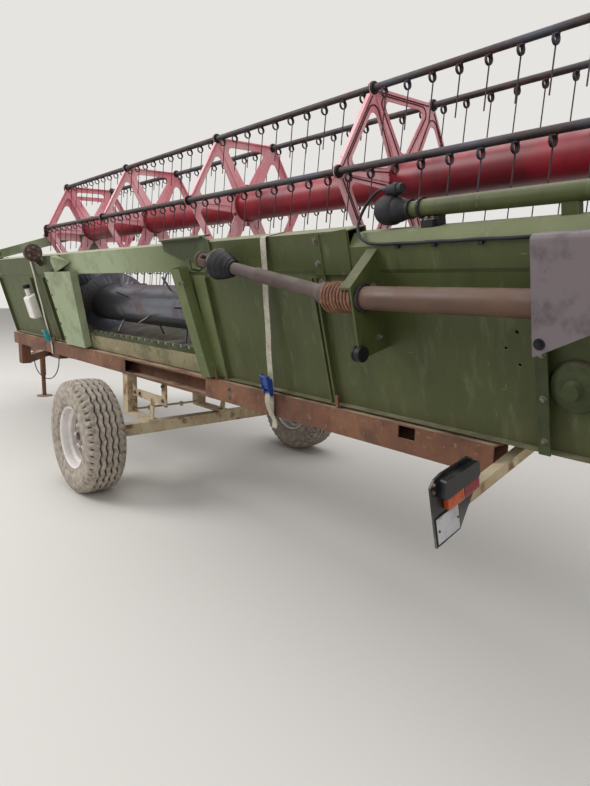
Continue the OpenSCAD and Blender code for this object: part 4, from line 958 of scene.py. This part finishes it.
# Reel discs: beads rolled round the windows and along the folds, clamps round the bars, bolted hubs
discTrim = {
    "bead": 0.0046,
    "line": 0.0034,
    "lineGrow": 1.19,             # a pressed line runs round its window, this much larger
    "clamp": [(-0.013, 0.0188), (-0.013, 0.029), (-0.010, 0.032), (0.012, 0.032), (0.015, 0.029),
              (0.015, 0.0188)],
    "flange": [(0.0042, 0.1102), (0.0042, 0.15), (0.006, 0.152), (0.009, 0.152), (0.011, 0.15),
               (0.011, 0.118), (0.02, 0.1135), (0.02, 0.1102)],
    "hubCircle": 0.137,
    "hubFace": 0.011,
    "hubBoltScale": 0.9,
    "lobeGap": 0.004,             # between a bar's lobe and the ends of the beads
    "foldOut": 0.003,
    "rimIn": 0.012,
}


def onReel(distance, angle):
    turned = math.radians(angle)
    return (distance * math.cos(turned), distance * math.sin(turned))


def windowOutline(number, grow=1):
    middle = reel["firstBar"] + reel["barStep"] * (number + 0.5)
    corners = [Vector(onReel(reel["windowInner"], middle)),
               Vector(onReel(reel["windowOuter"], middle - reel["windowSpread"])),
               Vector(onReel(reel["windowOuter"], middle + reel["windowSpread"]))]
    heart = (corners[0] + corners[1] + corners[2]) / 3
    grown = [heart + (corner - heart) * grow for corner in corners]
    return roundedOutline(grown, reel["windowRound"] * grow)


def makeDiscTrim():
    reelFrame = tableFrame @ Matrix.Translation((0, *reel["centre"]))
    beads, folds, lines, rims, hubBolts = [], [], [], [], []
    clamps, flanges = bmesh.new(), bmesh.new()
    clampMesh = toMesh("clampRing", lathe(discTrim["clamp"], 24, closed=True))
    flangeMesh = toMesh("hubFlange", lathe(discTrim["flange"], 48, closed=True))
    for x in reel["discs"]:
        inward = -1 if x > 0 else 1
        mirrored = Matrix.Scale(inward, 4, (1, 0, 0))
        for number in range(reel["bars"]):
            beads.append([(x, *point) for point in windowOutline(number)])
            face = x - inward * reel["discThick"] / 2
            lines.append([(face, *point) for point in windowOutline(number, discTrim["lineGrow"])])
            barAngle = reel["firstBar"] + reel["barStep"] * number
            corner = Vector((0, *onReel(reel["barCircle"], barAngle)))
            after = Vector((0, *onReel(reel["barCircle"], barAngle + reel["barStep"])))
            side = (after - corner).normalized() * (reel["lobe"] + discTrim["lobeGap"])
            outward = (corner + after).normalized()
            lip = Vector((x + inward * reel["discEdge"], 0, 0)) + outward * discTrim["foldOut"]
            folds.append([lip + corner + side, lip + after - side])
            inset = Vector((face, 0, 0)) - outward * discTrim["rimIn"]
            rims.append([inset + corner + side, inset + after - side])
            addCopies(clamps, clampMesh, [Matrix.Translation((x, *corner.yz)) @ mirrored])
            boltAt = onReel(discTrim["hubCircle"], barAngle + reel["barStep"] / 2)
            hubBolts.append(((x + inward * discTrim["hubFace"], *boltAt), (inward, 0, 0),
                             discTrim["hubBoltScale"]))
        addCopies(flanges, flangeMesh, [Matrix.Translation((x, 0, 0)) @ mirrored])
    for name, drawn, radius, cyclic, finish in (
            ("window_beads", beads, discTrim["bead"], True, "bleachedSunlitRedEnamel"),
            ("fold_beads", folds, discTrim["bead"], False, "bleachedSunlitRedEnamel"),
            ("pressed_lines", lines, discTrim["line"], True, "darkPressedLine"),
            ("pressed_rims", rims, discTrim["line"], False, "darkPressedLine")):
        mesh = tubesMesh(name, drawn, radius, cyclic, finish, reelFrame)
        newPiece(name, mesh, "reel")
    clampsMesh = toMesh("bar_clamps", clamps, "blackRubber", reelFrame)
    newPiece("bar_clamps", clampsMesh, "reel")
    flangesMesh = toMesh("hub_flanges", flanges, "bleachedSunlitRedEnamel", reelFrame)
    newPiece("hub_flanges", flangesMesh, "reel")
    makeBolts("hub_bolts", hubBolts, "reel", place=reelFrame)


makeDiscTrim()
print("reel discs trimmed")

# Drive line: the coil by the bracket, the parked shaft with its cone and fork, and the bracket's roller
driveLine = {
    "axis": (-0.127, 0.531),          # along the floor and up the wall
    "coilX": (2.0605, 2.2285),
    "coilRadius": 0.0555,
    "coilWire": 0.0063,
    "coilTurns": 8.5,
    "stepsPerTurn": 28,
    "sleeve": [(2.0597, 0), (2.0597, 0.05), (2.064, 0.052), (2.068, 0.046), (2.222, 0.046), (2.226, 0.052),
               (2.2297, 0.05), (2.2297, 0)],
    "collar": [(2.2385, 0.0442), (2.2385, 0.051), (2.241, 0.053), (2.253, 0.053), (2.257, 0.05),
               (2.2575, 0.0442)],
    "roller": [(2.2135, 0.0262), (2.2135, 0.0292), (2.216, 0.031), (2.2245, 0.031), (2.2245, 0.027),
               (2.2295, 0.027), (2.2295, 0.031), (2.252, 0.031), (2.2545, 0.0292), (2.2545, 0)],
    "rollerAt": (-0.179, 0.327),
}


def makeCoil():
    bm = bmesh.new()
    wire = driveLine["coilWire"]
    ring = bmesh.ops.create_circle(bm, cap_ends=True, segments=10, radius=wire)["verts"]
    bmesh.ops.rotate(bm, matrix=Matrix.Rotation(math.radians(90), 3, "X"), cent=(0, 0, 0), verts=ring)
    start, end = driveLine["coilX"][0] + wire, driveLine["coilX"][1] - wire
    bmesh.ops.translate(bm, vec=(start, 0, driveLine["coilRadius"]), verts=ring)
    steps = round(driveLine["coilTurns"] * driveLine["stepsPerTurn"])
    bmesh.ops.spin(bm, geom=ring + list(bm.edges) + list(bm.faces), cent=(0, 0, 0), axis=(1, 0, 0),
                   angle=math.tau * driveLine["coilTurns"], dvec=((end - start) / steps, 0, 0), steps=steps)
    place = tableFrame @ Matrix.Translation((0, *driveLine["axis"]))
    coil = toMesh("guard_coil", bm, "rustySpringWire", place)
    newPiece("guard_coil", coil, "unit", ("bellows",))
    makeTurned("coil_sleeve", driveLine["sleeve"], "blackRubber", place)
    makeTurned("tube_collar", driveLine["collar"], "blackRubber", place, closed=True)
    rollerPlace = tableFrame @ Matrix.Translation((0, *driveLine["rollerAt"]))
    makeTurned("bracket_roller", driveLine["roller"], "blackRubber", rollerPlace, steps=32)


makeCoil()

shaft = {
    "start": (2.0522, -0.127, 0.541),
    "end": (1.13, -0.104, 0.696),
    "tube": [(0, 0), (0, 0.041), (0.003, 0.044), (0.026, 0.044), (0.03, 0.042), (0.044, 0.033),
             (0.06, 0.0315), (0.44, 0.0315), (0.444, 0.034), (0.456, 0.034), (0.46, 0.0285),
             (0.65, 0.0285), (0.65, 0)],
    "cone": [(0.64, 0.0288), (0.64, 0.036), (0.652, 0.039), (0.66, 0.047), (0.668, 0.045), (0.684, 0.052),
             (0.692, 0.057), (0.7, 0.0545), (0.716, 0.061), (0.724, 0.066), (0.732, 0.0635), (0.752, 0.07),
             (0.762, 0.0745), (0.78, 0.0745), (0.783, 0.072), (0.776, 0.069), (0.755, 0.066), (0.67, 0.036)],
    "clip": [(0.771, 0.0738), (0.769, 0.0765), (0.766, 0.0738), (0.769, 0.072)],
    "hub": [(0.935, 0), (0.935, 0.038), (0.931, 0.042), (0.917, 0.042), (0.913, 0.036), (0.905, 0.034),
            (0.895, 0.034), (0.89, 0.03), (0.89, 0)],
    "stub": [(0.65, 0), (0.65, 0.024), (0.79, 0.024), (0.8, 0.033), (0.806, 0.033), (0.81, 0.03), (0.81, 0)],
    "ear": (0.028, 0.040),            # distance of an ear's inner and outer face from the middle
    "earEnds": (0.8, 0.9),            # where the two pairs of ears come from, along the shaft
    "earPast": 0.018,                 # how far an ear goes past the cross
    "earHalf": 0.02,
    "earRound": 0.005,
    "crossAt": 0.85,
    "crossRadius": 0.011,
    "crossPast": 0.0015,
}


def makeShaft():
    place = tableFrame @ along(shaft["start"], shaft["end"])
    makeTurned("shaft_tube", shaft["tube"], "dustyShaftTube", place, ("drive_shaft",))
    makeTurned("shaft_cone", shaft["cone"], "blackRubber", place, closed=True)
    makeTurned("cone_clip", shaft["clip"], "dullZinc", place, closed=True)
    fork = lathe(shaft["hub"], 32)
    addCopies(fork, toMesh("shaftStub", lathe(shaft["stub"], 32)), [Matrix.Identity(4)])
    inner, outer = shaft["ear"]
    half, past = shaft["earHalf"], shaft["earPast"]
    for side in (-1, 1):
        low, high = sorted((side * inner, side * outer))
        addBlock(fork, (shaft["crossAt"] - past, low, -half), (shaft["earEnds"][1], high, half),
                 shaft["earRound"])
        addBlock(fork, (shaft["earEnds"][0], -half, low), (shaft["crossAt"] + past, half, high),
                 shaft["earRound"])
    for facing in (front, upward):
        pinPlace = seated((shaft["crossAt"], 0, 0), facing)
        pinRadii = (shaft["crossRadius"], shaft["crossRadius"])
        addCone(fork, pinPlace, pinRadii, 2 * (outer + shaft["crossPast"]))
    newPiece("shaft_fork", toMesh("shaft_fork", fork, "rustyForging", place), "unit")


makeShaft()
print("drive line made")

# Rubber boot on the end of the top tube, with the cable's plug on it
boot = {
    "at": (2.333, 0.08, 0.809),
    "lean": math.radians(3),
    "profile": [(0, 0), (0, 0.0315), (0.003, 0.0335), (0.012, 0.0345), (0.0145, 0.037), (0.017, 0.0365),
                (0.03, 0.0425), (0.042, 0.0455), (0.056, 0.047), (0.0595, 0.0515), (0.064, 0.0535),
                (0.08, 0.0555), (0.095, 0.0562), (0.11, 0.0548), (0.1205, 0.051), (0.13, 0.0455),
                (0.1375, 0.038), (0.1415, 0.026), (0.144, 0.012), (0.1445, 0)],
    "plugAt": (0.085, 0.885),
    "plug": [(2.2215, 0.0065), (2.2215, 0.0085), (2.2255, 0.009), (2.227, 0.0078), (2.2295, 0.0095),
             (2.231, 0.0085), (2.2345, 0.0115), (2.24, 0.0195), (2.2435, 0.02), (2.27, 0.02),
             (2.272, 0.024), (2.2755, 0.0245), (2.2865, 0.0245), (2.29, 0.024), (2.292, 0.02),
             (2.31, 0.02), (2.312, 0.018), (2.312, 0)],
}


def makeBoot():
    direction = Vector((-math.cos(boot["lean"]), 0, math.sin(boot["lean"])))
    place = tableFrame @ along(boot["at"], Vector(boot["at"]) + direction)
    makeTurned("rubber_boot", boot["profile"], "blackRubber", place, ("boot",))
    plugPlace = tableFrame @ Matrix.Translation((0, *boot["plugAt"]))
    makeTurned("cable_plug", boot["plug"], "blackRubber", plugPlace, steps=32)


makeBoot()
print("boot made")

# Blow-moulded can on the left wall: body with a sunk panel, neck and ribbed cap
can = {
    "low": (-2.25, -0.09, 0.2),
    "high": (-2.09, -0.0045, 0.435),
    "round": 0.018,
    "shoulderDrop": 0.03,
    "panelArea": 0.012,               # faces larger than this get a sunk panel, in square metres
    "panelInset": 0.012,
    "panelSlope": 0.003,
    "panelSink": 0.004,
    "neckAt": (-2.17, -0.0472),
    "neck": [(0.425, 0), (0.425, 0.026), (0.431, 0.0245), (0.437, 0.024), (0.455, 0.0235), (0.458, 0.0265),
             (0.462, 0.0265), (0.465, 0.0235), (0.492, 0.0235), (0.492, 0)],
    "cap": [(0.488, 0.0245), (0.487, 0.0295), (0.489, 0.0305), (0.516, 0.0305), (0.52, 0.0285),
            (0.5215, 0.024), (0.5215, 0)],
    "capRibs": 30,
    "capRibDepth": 0.0014,
    "capRibFrom": 0.03,
}


def makeCan():
    low, high = Vector(can["low"]), Vector(can["high"])
    bm = bmesh.new()
    addBlock(bm, low, high)
    for vert in bm.verts:
        if vert.co.z > high.z - 0.001 and vert.co.y < low.y + 0.001:
            vert.co.z -= can["shoulderDrop"]
    bmesh.ops.bevel(bm, geom=list(bm.edges), offset=can["round"], segments=5, profile=0.5,
                    affect="EDGES", material=-1)
    panels = [face for face in bm.faces if face.calc_area() > can["panelArea"]]
    bmesh.ops.inset_individual(bm, faces=panels, thickness=can["panelInset"], depth=0)
    bmesh.ops.inset_individual(bm, faces=panels, thickness=can["panelSlope"], depth=-can["panelSink"])
    body = toMesh("can_body", bm, "milkyPolyethylene", tableFrame, sharpAngle=50)
    newPiece("can_body", body, "unit", ("storage_box",))
    standing = Matrix.Rotation(math.radians(-90), 4, "Y")
    upright = tableFrame @ Matrix.Translation((*can["neckAt"], 0)) @ standing
    makeTurned("can_neck", can["neck"], "milkyPolyethylene", upright, steps=32)
    cap = lathe(can["cap"], 2 * can["capRibs"])
    for vert in cap.verts:
        radius = math.hypot(vert.co.y, vert.co.z)
        step = round(math.atan2(vert.co.z, vert.co.y) / math.tau * 2 * can["capRibs"])
        if step % 2 and radius > can["capRibFrom"]:
            vert.co.yz *= 1 - can["capRibDepth"] / radius
    capMesh = toMesh("can_cap", cap, "blackRubber", upright, sharpAngle=20)
    newPiece("can_cap", capMesh, "unit")


makeCan()
print("can made")

# Lashing straps: webbing over the beam and down round the rail, with a ratchet on each
strap = {
    "width": 0.04,
    "thick": 0.0022,
    "top": 0.7702,
    "overBeam": [(0.1055, 0.69), (0.1055, 0.755), (0.1035, 0.7655), (0.097, 0.7702)],
    "atBeam": [(-0.013, 0.7702), (-0.0195, 0.7685), (-0.0235, 0.7625)],
    "down": (-0.0735, -0.052),
    "underRail": [(-0.0795, -0.078), (-0.0895, -0.118), (-0.0885, -0.1245), (-0.081, -0.127),
                  (-0.06, -0.132)],
    "steps": 24,                      # down the free stretch
    "cuts": 3,                        # across the webbing
    "ripple": 0.0015,
    "rippleTurn": 23,                 # radians for each metre of height
    "tail": [(0, 0, 0), (-0.004, -0.012, -0.03), (0.004, -0.02, -0.075), (0.012, -0.014, -0.12),
             (0.008, -0.004, -0.16), (-0.002, -0.008, -0.195)],
    "tailFrom": (0, -0.016, 0.01),    # from the ratchet's foot
    "tailWidth": 0.96,                # as a share of the strap's
    "tailSteps": 6,
}

# Ratchet: cheeks, handle, levers, grip and three spools, in places (out, up) from its foot on the strap
ratchet = {
    "height": 0.0,
    "gap": 0.002,                     # between the webbing's edge and a cheek
    "cheek": [(-0.022, 0.008), (-0.008, 0.0), (-0.004, 0.085), (-0.016, 0.09)],
    "cheekRound": 0.006,
    "cheekThick": 0.0025,
    "handle": ((-0.030, 0.052), (-0.026, 0.112)),
    "handleRound": 0.0015,
    "lever": ((-0.034, 0.03), (-0.012, 0.112)),
    "leverGap": 0.0028,
    "leverHalf": 0.0012,
    "leverRound": 0.001,
    "grip": ((-0.037, 0.1), (-0.026, 0.114)),
    "gripPast": 0.004,
    "gripRound": 0.004,
    "spools": ((0.04, 0.011), (0.078, 0.006), (0.012, 0.006)),   # height and radius
    "spoolOut": -0.014,
    "spoolPast": 0.0045,
}


def makeBand(name, points, width):
    bm = bmesh.new()
    first = Vector(points[0])
    strip = [bm.edges.new([bm.verts.new(first + Vector((x, 0, 0))) for x in (-width / 2, width / 2)])]
    bmesh.ops.subdivide_edges(bm, edges=strip, cuts=strap["cuts"])
    edges = list(bm.edges)
    for here, after in zip(points, points[1:]):
        made = bmesh.ops.extrude_edge_only(bm, edges=edges)["geom"]
        edges = [item for item in made if isinstance(item, bmesh.types.BMEdge)]
        verts = [item for item in made if isinstance(item, bmesh.types.BMVert)]
        bmesh.ops.translate(bm, vec=Vector(after) - Vector(here), verts=verts)
        edges = [edge for edge in edges if all(vert in verts for vert in edge.verts)]
    bmesh.ops.solidify(bm, geom=list(bm.faces), thickness=strap["thick"])
    return toMesh(name, bm, "grimyShadedWebbing", tableFrame)


def smoothed(points, count):  # points spaced evenly along a round line through the given ones
    curve = bpy.data.curves.new("line", "CURVE")
    curve.dimensions = "3D"
    curve.resolution_u = count
    spline = curve.splines.new("BEZIER")
    spline.bezier_points.add(len(points) - 1)
    for target, point in zip(spline.bezier_points, points):
        target.co = point
        target.handle_left_type = target.handle_right_type = "AUTO"
    holder = bpy.data.objects.new("line", curve)
    made = bpy.data.meshes.new_from_object(holder)
    line = [vert.co.copy() for vert in made.vertices]
    bpy.data.objects.remove(holder)
    bpy.data.curves.remove(curve)
    bpy.data.meshes.remove(made)
    return line


def makeRatchet(name, beamX, railX, finish):
    bm = bmesh.new()
    half = strap["width"] / 2 + ratchet["gap"]
    cheek = roundedOutline(ratchet["cheek"], ratchet["cheekRound"])
    for side in (-1, 1):
        addPlate(bm, cheek, side * half, side * (half + ratchet["cheekThick"]))
    low, high = ratchet["handle"]
    addBlock(bm, (-half, *low), (half, *high), ratchet["handleRound"])
    low, high = ratchet["lever"]
    for side in (-1, 1):
        middle = side * (half + ratchet["leverGap"])
        addBlock(bm, (middle - ratchet["leverHalf"], *low), (middle + ratchet["leverHalf"], *high),
                 ratchet["leverRound"])
    low, high = ratchet["grip"]
    past = half + ratchet["gripPast"]
    addBlock(bm, (-past, *low), (past, *high), ratchet["gripRound"], 3)
    for height, radius in ratchet["spools"]:
        spoolPlace = seated((0, ratchet["spoolOut"], height), right)
        addCone(bm, spoolPlace, (radius, radius), 2 * (half + ratchet["spoolPast"]))
    beamOut, beamHigh = strap["atBeam"][-1]
    railOut, railHigh = strap["down"]
    lean = Vector((0, railOut - beamOut, railHigh - beamHigh)).normalized()
    share = (beamHigh - ratchet["height"]) / (beamHigh - railHigh)
    out = beamOut + lean.y / lean.z * (ratchet["height"] - beamHigh)
    foot = Vector((beamX + (railX - beamX) * share, out, ratchet["height"]))
    leanBack = Matrix.Rotation(math.atan2(-lean.y, -lean.z), 4, "X")
    leanAside = Matrix.Rotation(math.atan2(beamX - railX, strap["top"] - railHigh), 4, "Y")
    place = tableFrame @ Matrix.Translation(foot) @ leanBack @ leanAside
    newPiece(name, toMesh(name, bm, finish, place), "unit")
    return foot


def makeStrap(name, beamX, railX, ratchetFinish, replaced, tail):  # it slants from the beam to the rail
    beamOut, beamHigh = strap["atBeam"][-1]
    railOut, railHigh = strap["down"]
    rise = strap["top"] - railHigh
    steps = strap["steps"]
    free = [(beamOut + (railOut - beamOut) * step / steps, beamHigh + (railHigh - beamHigh) * step / steps)
            for step in range(1, steps + 1)]
    points = []
    for out, height in strap["overBeam"] + strap["atBeam"] + free + strap["underRail"]:
        share = min(max(height - railHigh, 0) / rise, 1)
        ripple = strap["ripple"] * math.sin(height * strap["rippleTurn"])
        points.append((railX + (beamX - railX) * share, out + ripple, height))
    newPiece(name, makeBand(name, points, strap["width"]), "unit", replaced)
    foot = makeRatchet(name.replace("strap", "ratchet"), beamX, railX, ratchetFinish)
    if tail:
        start = foot + Vector(strap["tailFrom"])
        line = smoothed([start + Vector(point) for point in strap["tail"]], strap["tailSteps"])
        tailName = name + "_tail"
        tailMesh = makeBand(tailName, line, strap["width"] * strap["tailWidth"])
        newPiece(tailName, tailMesh, "unit")


makeStrap("strap_right", 1.57, 1.446, "blueRatchetPaint", ("straps",), True)
makeStrap("strap_left", -1.88, -1.895, "turquoiseRatchetPaint", (), False)
print("straps made")

# Lamp board: fluted lenses, a blank plate in its dark rim, screws
lamp = {
    "face": 2.748,
    "lenses": {"orangeAcrylic": (-0.426, -0.343), "redAcrylic": (-0.340, -0.257)},
    "height": (-0.048, -0.001),
    "deep": 0.026,
    "lensRound": 0.004,
    "flutes": 9,
    "fluteHigh": 0.002,
    "fluteSunk": 0.006,
    "fluteBorders": (0.006, 0.005),   # along the lens and across it
    "fluteRound": 0.42,               # as a share of a flute's width
    "rim": ((-0.4765, -0.1595), (-0.351, -0.0585)),
    "rimThick": 0.003,
    "plate": ((-0.471, -0.154), (-0.3565, -0.064)),
    "plateThick": 0.0045,
    "plateRound": 0.001,
}


def makeLamp():
    replaced = ("lamp_lenses",)   # one node has both lenses, so only the first piece replaces it
    face, glass = lamp["face"], lamp["face"] + lamp["deep"]
    low, high = lamp["height"]
    borderAlong, borderAcross = lamp["fluteBorders"]
    for finish, (start, end) in lamp["lenses"].items():
        bm = bmesh.new()
        addBlock(bm, (face, start, low), (glass - lamp["fluteHigh"], end, high), lamp["lensRound"], 3)
        width = (end - start - 2 * borderAlong) / lamp["flutes"]
        for number in range(lamp["flutes"]):
            edge = start + borderAlong + number * width
            addBlock(bm, (glass - lamp["fluteSunk"], edge, low + borderAcross),
                     (glass, edge + width, high - borderAcross), width * lamp["fluteRound"])
        name = "lens_" + finish.replace("Acrylic", "")
        newPiece(name, toMesh(name, bm, finish, tableFrame), "unit", replaced)
        replaced = ()
    for name, finish, (low, high), thick in (
            ("plate_rim", "blackRubber", lamp["rim"], lamp["rimThick"]),
            ("blank_plate", "chalkyPlate", lamp["plate"], lamp["plateThick"])):
        bm = bmesh.new()
        addBlock(bm, (face, *low), (face + thick, *high), lamp["plateRound"])
        newPiece(name, toMesh(name, bm, finish, tableFrame), "unit")


makeLamp()
screws = rowOf((2.7525, -0.463, -0.109), (2.7525, -0.364, -0.109), 2, right, 0.35)
screws += rowOf((2.748, -0.466, 0.03), (2.748, -0.462, 0.055), 2, right, 0.5)
makeBolts("board_screws", screws, "unit", place=tableFrame)
print("lamp board made")

# Closing sheet on the table side, between the right post and the wall
closingSheet = {
    "outline": [(0.79, 0.2), (0.985, 0.2), (0.985, 0.6105), (0.757, 0.6105)],   # across the table and up
    "faces": (-0.003, -0.0002),       # behind the wall's own face
}


def makeClosingSheet():
    bm = bmesh.new()
    addPlate(bm, closingSheet["outline"], *closingSheet["faces"])
    across = Matrix.Rotation(math.radians(-90), 4, "Z")
    mesh = toMesh("closing_sheet", bm, "shadedWeatheredGreenEnamel", tableFrame @ across)
    newPiece("closing_sheet", mesh, "unit")


makeClosingSheet()

# Bolts of the table: seam, strip, cover, posts, bracket, end plates, tube saddle
tableBolts = rowOf((1.91, -0.017, 0.5), (1.91, -0.017, 0.56), 2, rear) \
    + rowOf((1.91, -0.022, 0.64), (1.91, -0.022, 0.735), 2, rear) \
    + rowOf((2.884, -0.05, 0.05), (2.884, -0.05, 0.35), 3, rear, 0.8) \
    + rowOf((0.82, -0.014, 0.05), (0.862, -0.014, 0.05), 2, rear) \
    + rowOf((-1.065, -0.014, 0.05), (-1.107, -0.014, 0.05), 2, rear) \
    + rowOf((-1.437, -0.07, 0.07), (-1.437, -0.07, 0.57), 5, rear, 0.8) \
    + rowOf((0.795, -0.07, 0.56), (0.84, -0.07, 0.56), 2, rear, 0.8) \
    + rowOf((2.425, 0.055, 0.771), (2.45, 0.055, 0.771), 2, upward, 0.8) \
    + rowOf((2.238, -0.06, 0.36), (2.238, -0.06, 0.56), 2, right, 0.9) \
    + rowOf((3.155, 0.05, 0.7), (3.155, 0.7, 0.42), 5, right) \
    + rowOf((3.155, 0.1, 0.04), (3.155, 1.02, 0.04), 6, right) \
    + rowOf((-3.155, 0.05, 0.7), (-3.155, 0.7, 0.42), 5, left) \
    + rowOf((-3.155, 0.1, 0.04), (-3.155, 1.02, 0.04), 6, left)
makeBolts("table_bolts", tableBolts, "unit", place=tableFrame)
makeBolts("cover_knobs", rowOf((2.952, -0.1885, 0.432), (3.28, -0.1852, 0.56), 2, rear, 1.15), "unit",
          "blackRubber", tableFrame)
housingCircle = arcPoints((-0.082, 0.809), 0.044, 20, 360, 6)[:-1]
housingBolts = [((-1.516, y, z), right, 0.8) for y, z in housingCircle]
makeBolts("housing_bolts", housingBolts, "unit", place=tableFrame)
guardBolts = rowOf((-3.048, 1.058, 0.0545), (3.048, 1.058, 0.0545), 81, upward, 0.75)
makeBolts("guard_bolts", guardBolts, "unit", place=tableFrame)

# Bolts of the trailer: axle frame, rear rail, drawbar
trailerBolts = rowOf((-0.25, -0.498, 0.6), (-0.17, -0.498, 0.6), 2, rear) \
    + rowOf((0.18, -0.498, 0.6), (0.18, -0.498, 0.7), 2, rear) \
    + rowOf((1.05, -0.54, 0.765), (1.05, -0.54, 0.815), 2, rear) \
    + rowOf((-2.1, -0.54, 0.765), (-2.1, -0.54, 0.815), 2, rear) \
    + rowOf((-4.45, -0.05, 0.56), (-4.25, -0.05, 0.56), 2, rear, 1.4)
makeBolts("trailer_bolts", trailerBolts, "unit", place=trailerFrame)
print("bolts made")

# Floor, light and world
stage = {
    "floorSize": 60,
    "floor": "#d9d6d1",
    "floorRough": 0.9,
    "background": "#e6e4e0",
    "skyStrength": 0.42,
}


def makeStage():
    bm = bmesh.new()
    bmesh.ops.create_grid(bm, x_segments=1, y_segments=1, size=stage["floorSize"] / 2)
    mesh = toMesh("floor", bm)
    floor = bpy.data.objects.new("floor", mesh)
    bpy.context.collection.objects.link(floor)
    material = bpy.data.materials.new("paleFloor")
    material.use_nodes = True
    shader = material.node_tree.nodes["Principled BSDF"]
    shader.inputs["Base Color"].default_value = toLinear(stage["floor"])
    shader.inputs["Roughness"].default_value = stage["floorRough"]
    mesh.materials.append(material)
    world = bpy.data.worlds.new("studio")
    bpy.context.scene.world = world
    world.use_nodes = True
    tree = world.node_tree
    tree.nodes.clear()
    path = addNode(tree, "ShaderNodeLightPath").outputs
    seen = addNode(tree, "ShaderNodeMath", {"operation": "MAXIMUM"}, {
        0: path["Is Camera Ray"], 1: path["Is Glossy Ray"]}).outputs[0]
    seen = addNode(tree, "ShaderNodeMath", {"operation": "MAXIMUM"}, {
        0: seen, 1: path["Is Transmission Ray"]}).outputs[0]
    lighting = addNode(tree, "ShaderNodeBackground", None, {
        "Color": (1, 1, 1, 1), "Strength": stage["skyStrength"]}).outputs[0]
    backdrop = addNode(tree, "ShaderNodeBackground", None, {
        "Color": toLinear(stage["background"]), "Strength": 1}).outputs[0]
    mixed = addNode(tree, "ShaderNodeMixShader", None, {0: seen, 1: lighting, 2: backdrop}).outputs[0]
    addNode(tree, "ShaderNodeOutputWorld", None, {"Surface": mixed})


softboxes = [
    {"name": "leftKey", "place": (-7.0, -8.5, 9.0), "target": (0.0, -0.3, 0.9), "size": 6.5, "watts": 1060},
    {"name": "rightFill", "place": (7.5, -5.5, 5.0), "target": (2.0, -0.3, 1.0), "size": 4.0, "watts": 150},
    {"name": "topSoft", "place": (0.5, 1.0, 7.0), "target": (0.5, 0.2, 1.0), "size": 7.0, "watts": 270},
]


def makeSoftbox(box):
    data = bpy.data.lights.new(box["name"], "AREA")
    data.size = box["size"]
    data.energy = box["watts"]
    light = bpy.data.objects.new(box["name"], data)
    bpy.context.collection.objects.link(light)
    aim = Vector(box["target"]) - Vector(box["place"])
    turn = aim.to_track_quat("-Z", "Y").to_matrix().to_4x4()
    light.matrix_world = Matrix.Translation(box["place"]) @ turn


makeStage()
for box in softboxes:
    makeSoftbox(box)
bpy.context.scene.view_settings.view_transform = "Standard"
print("stage and lights made")
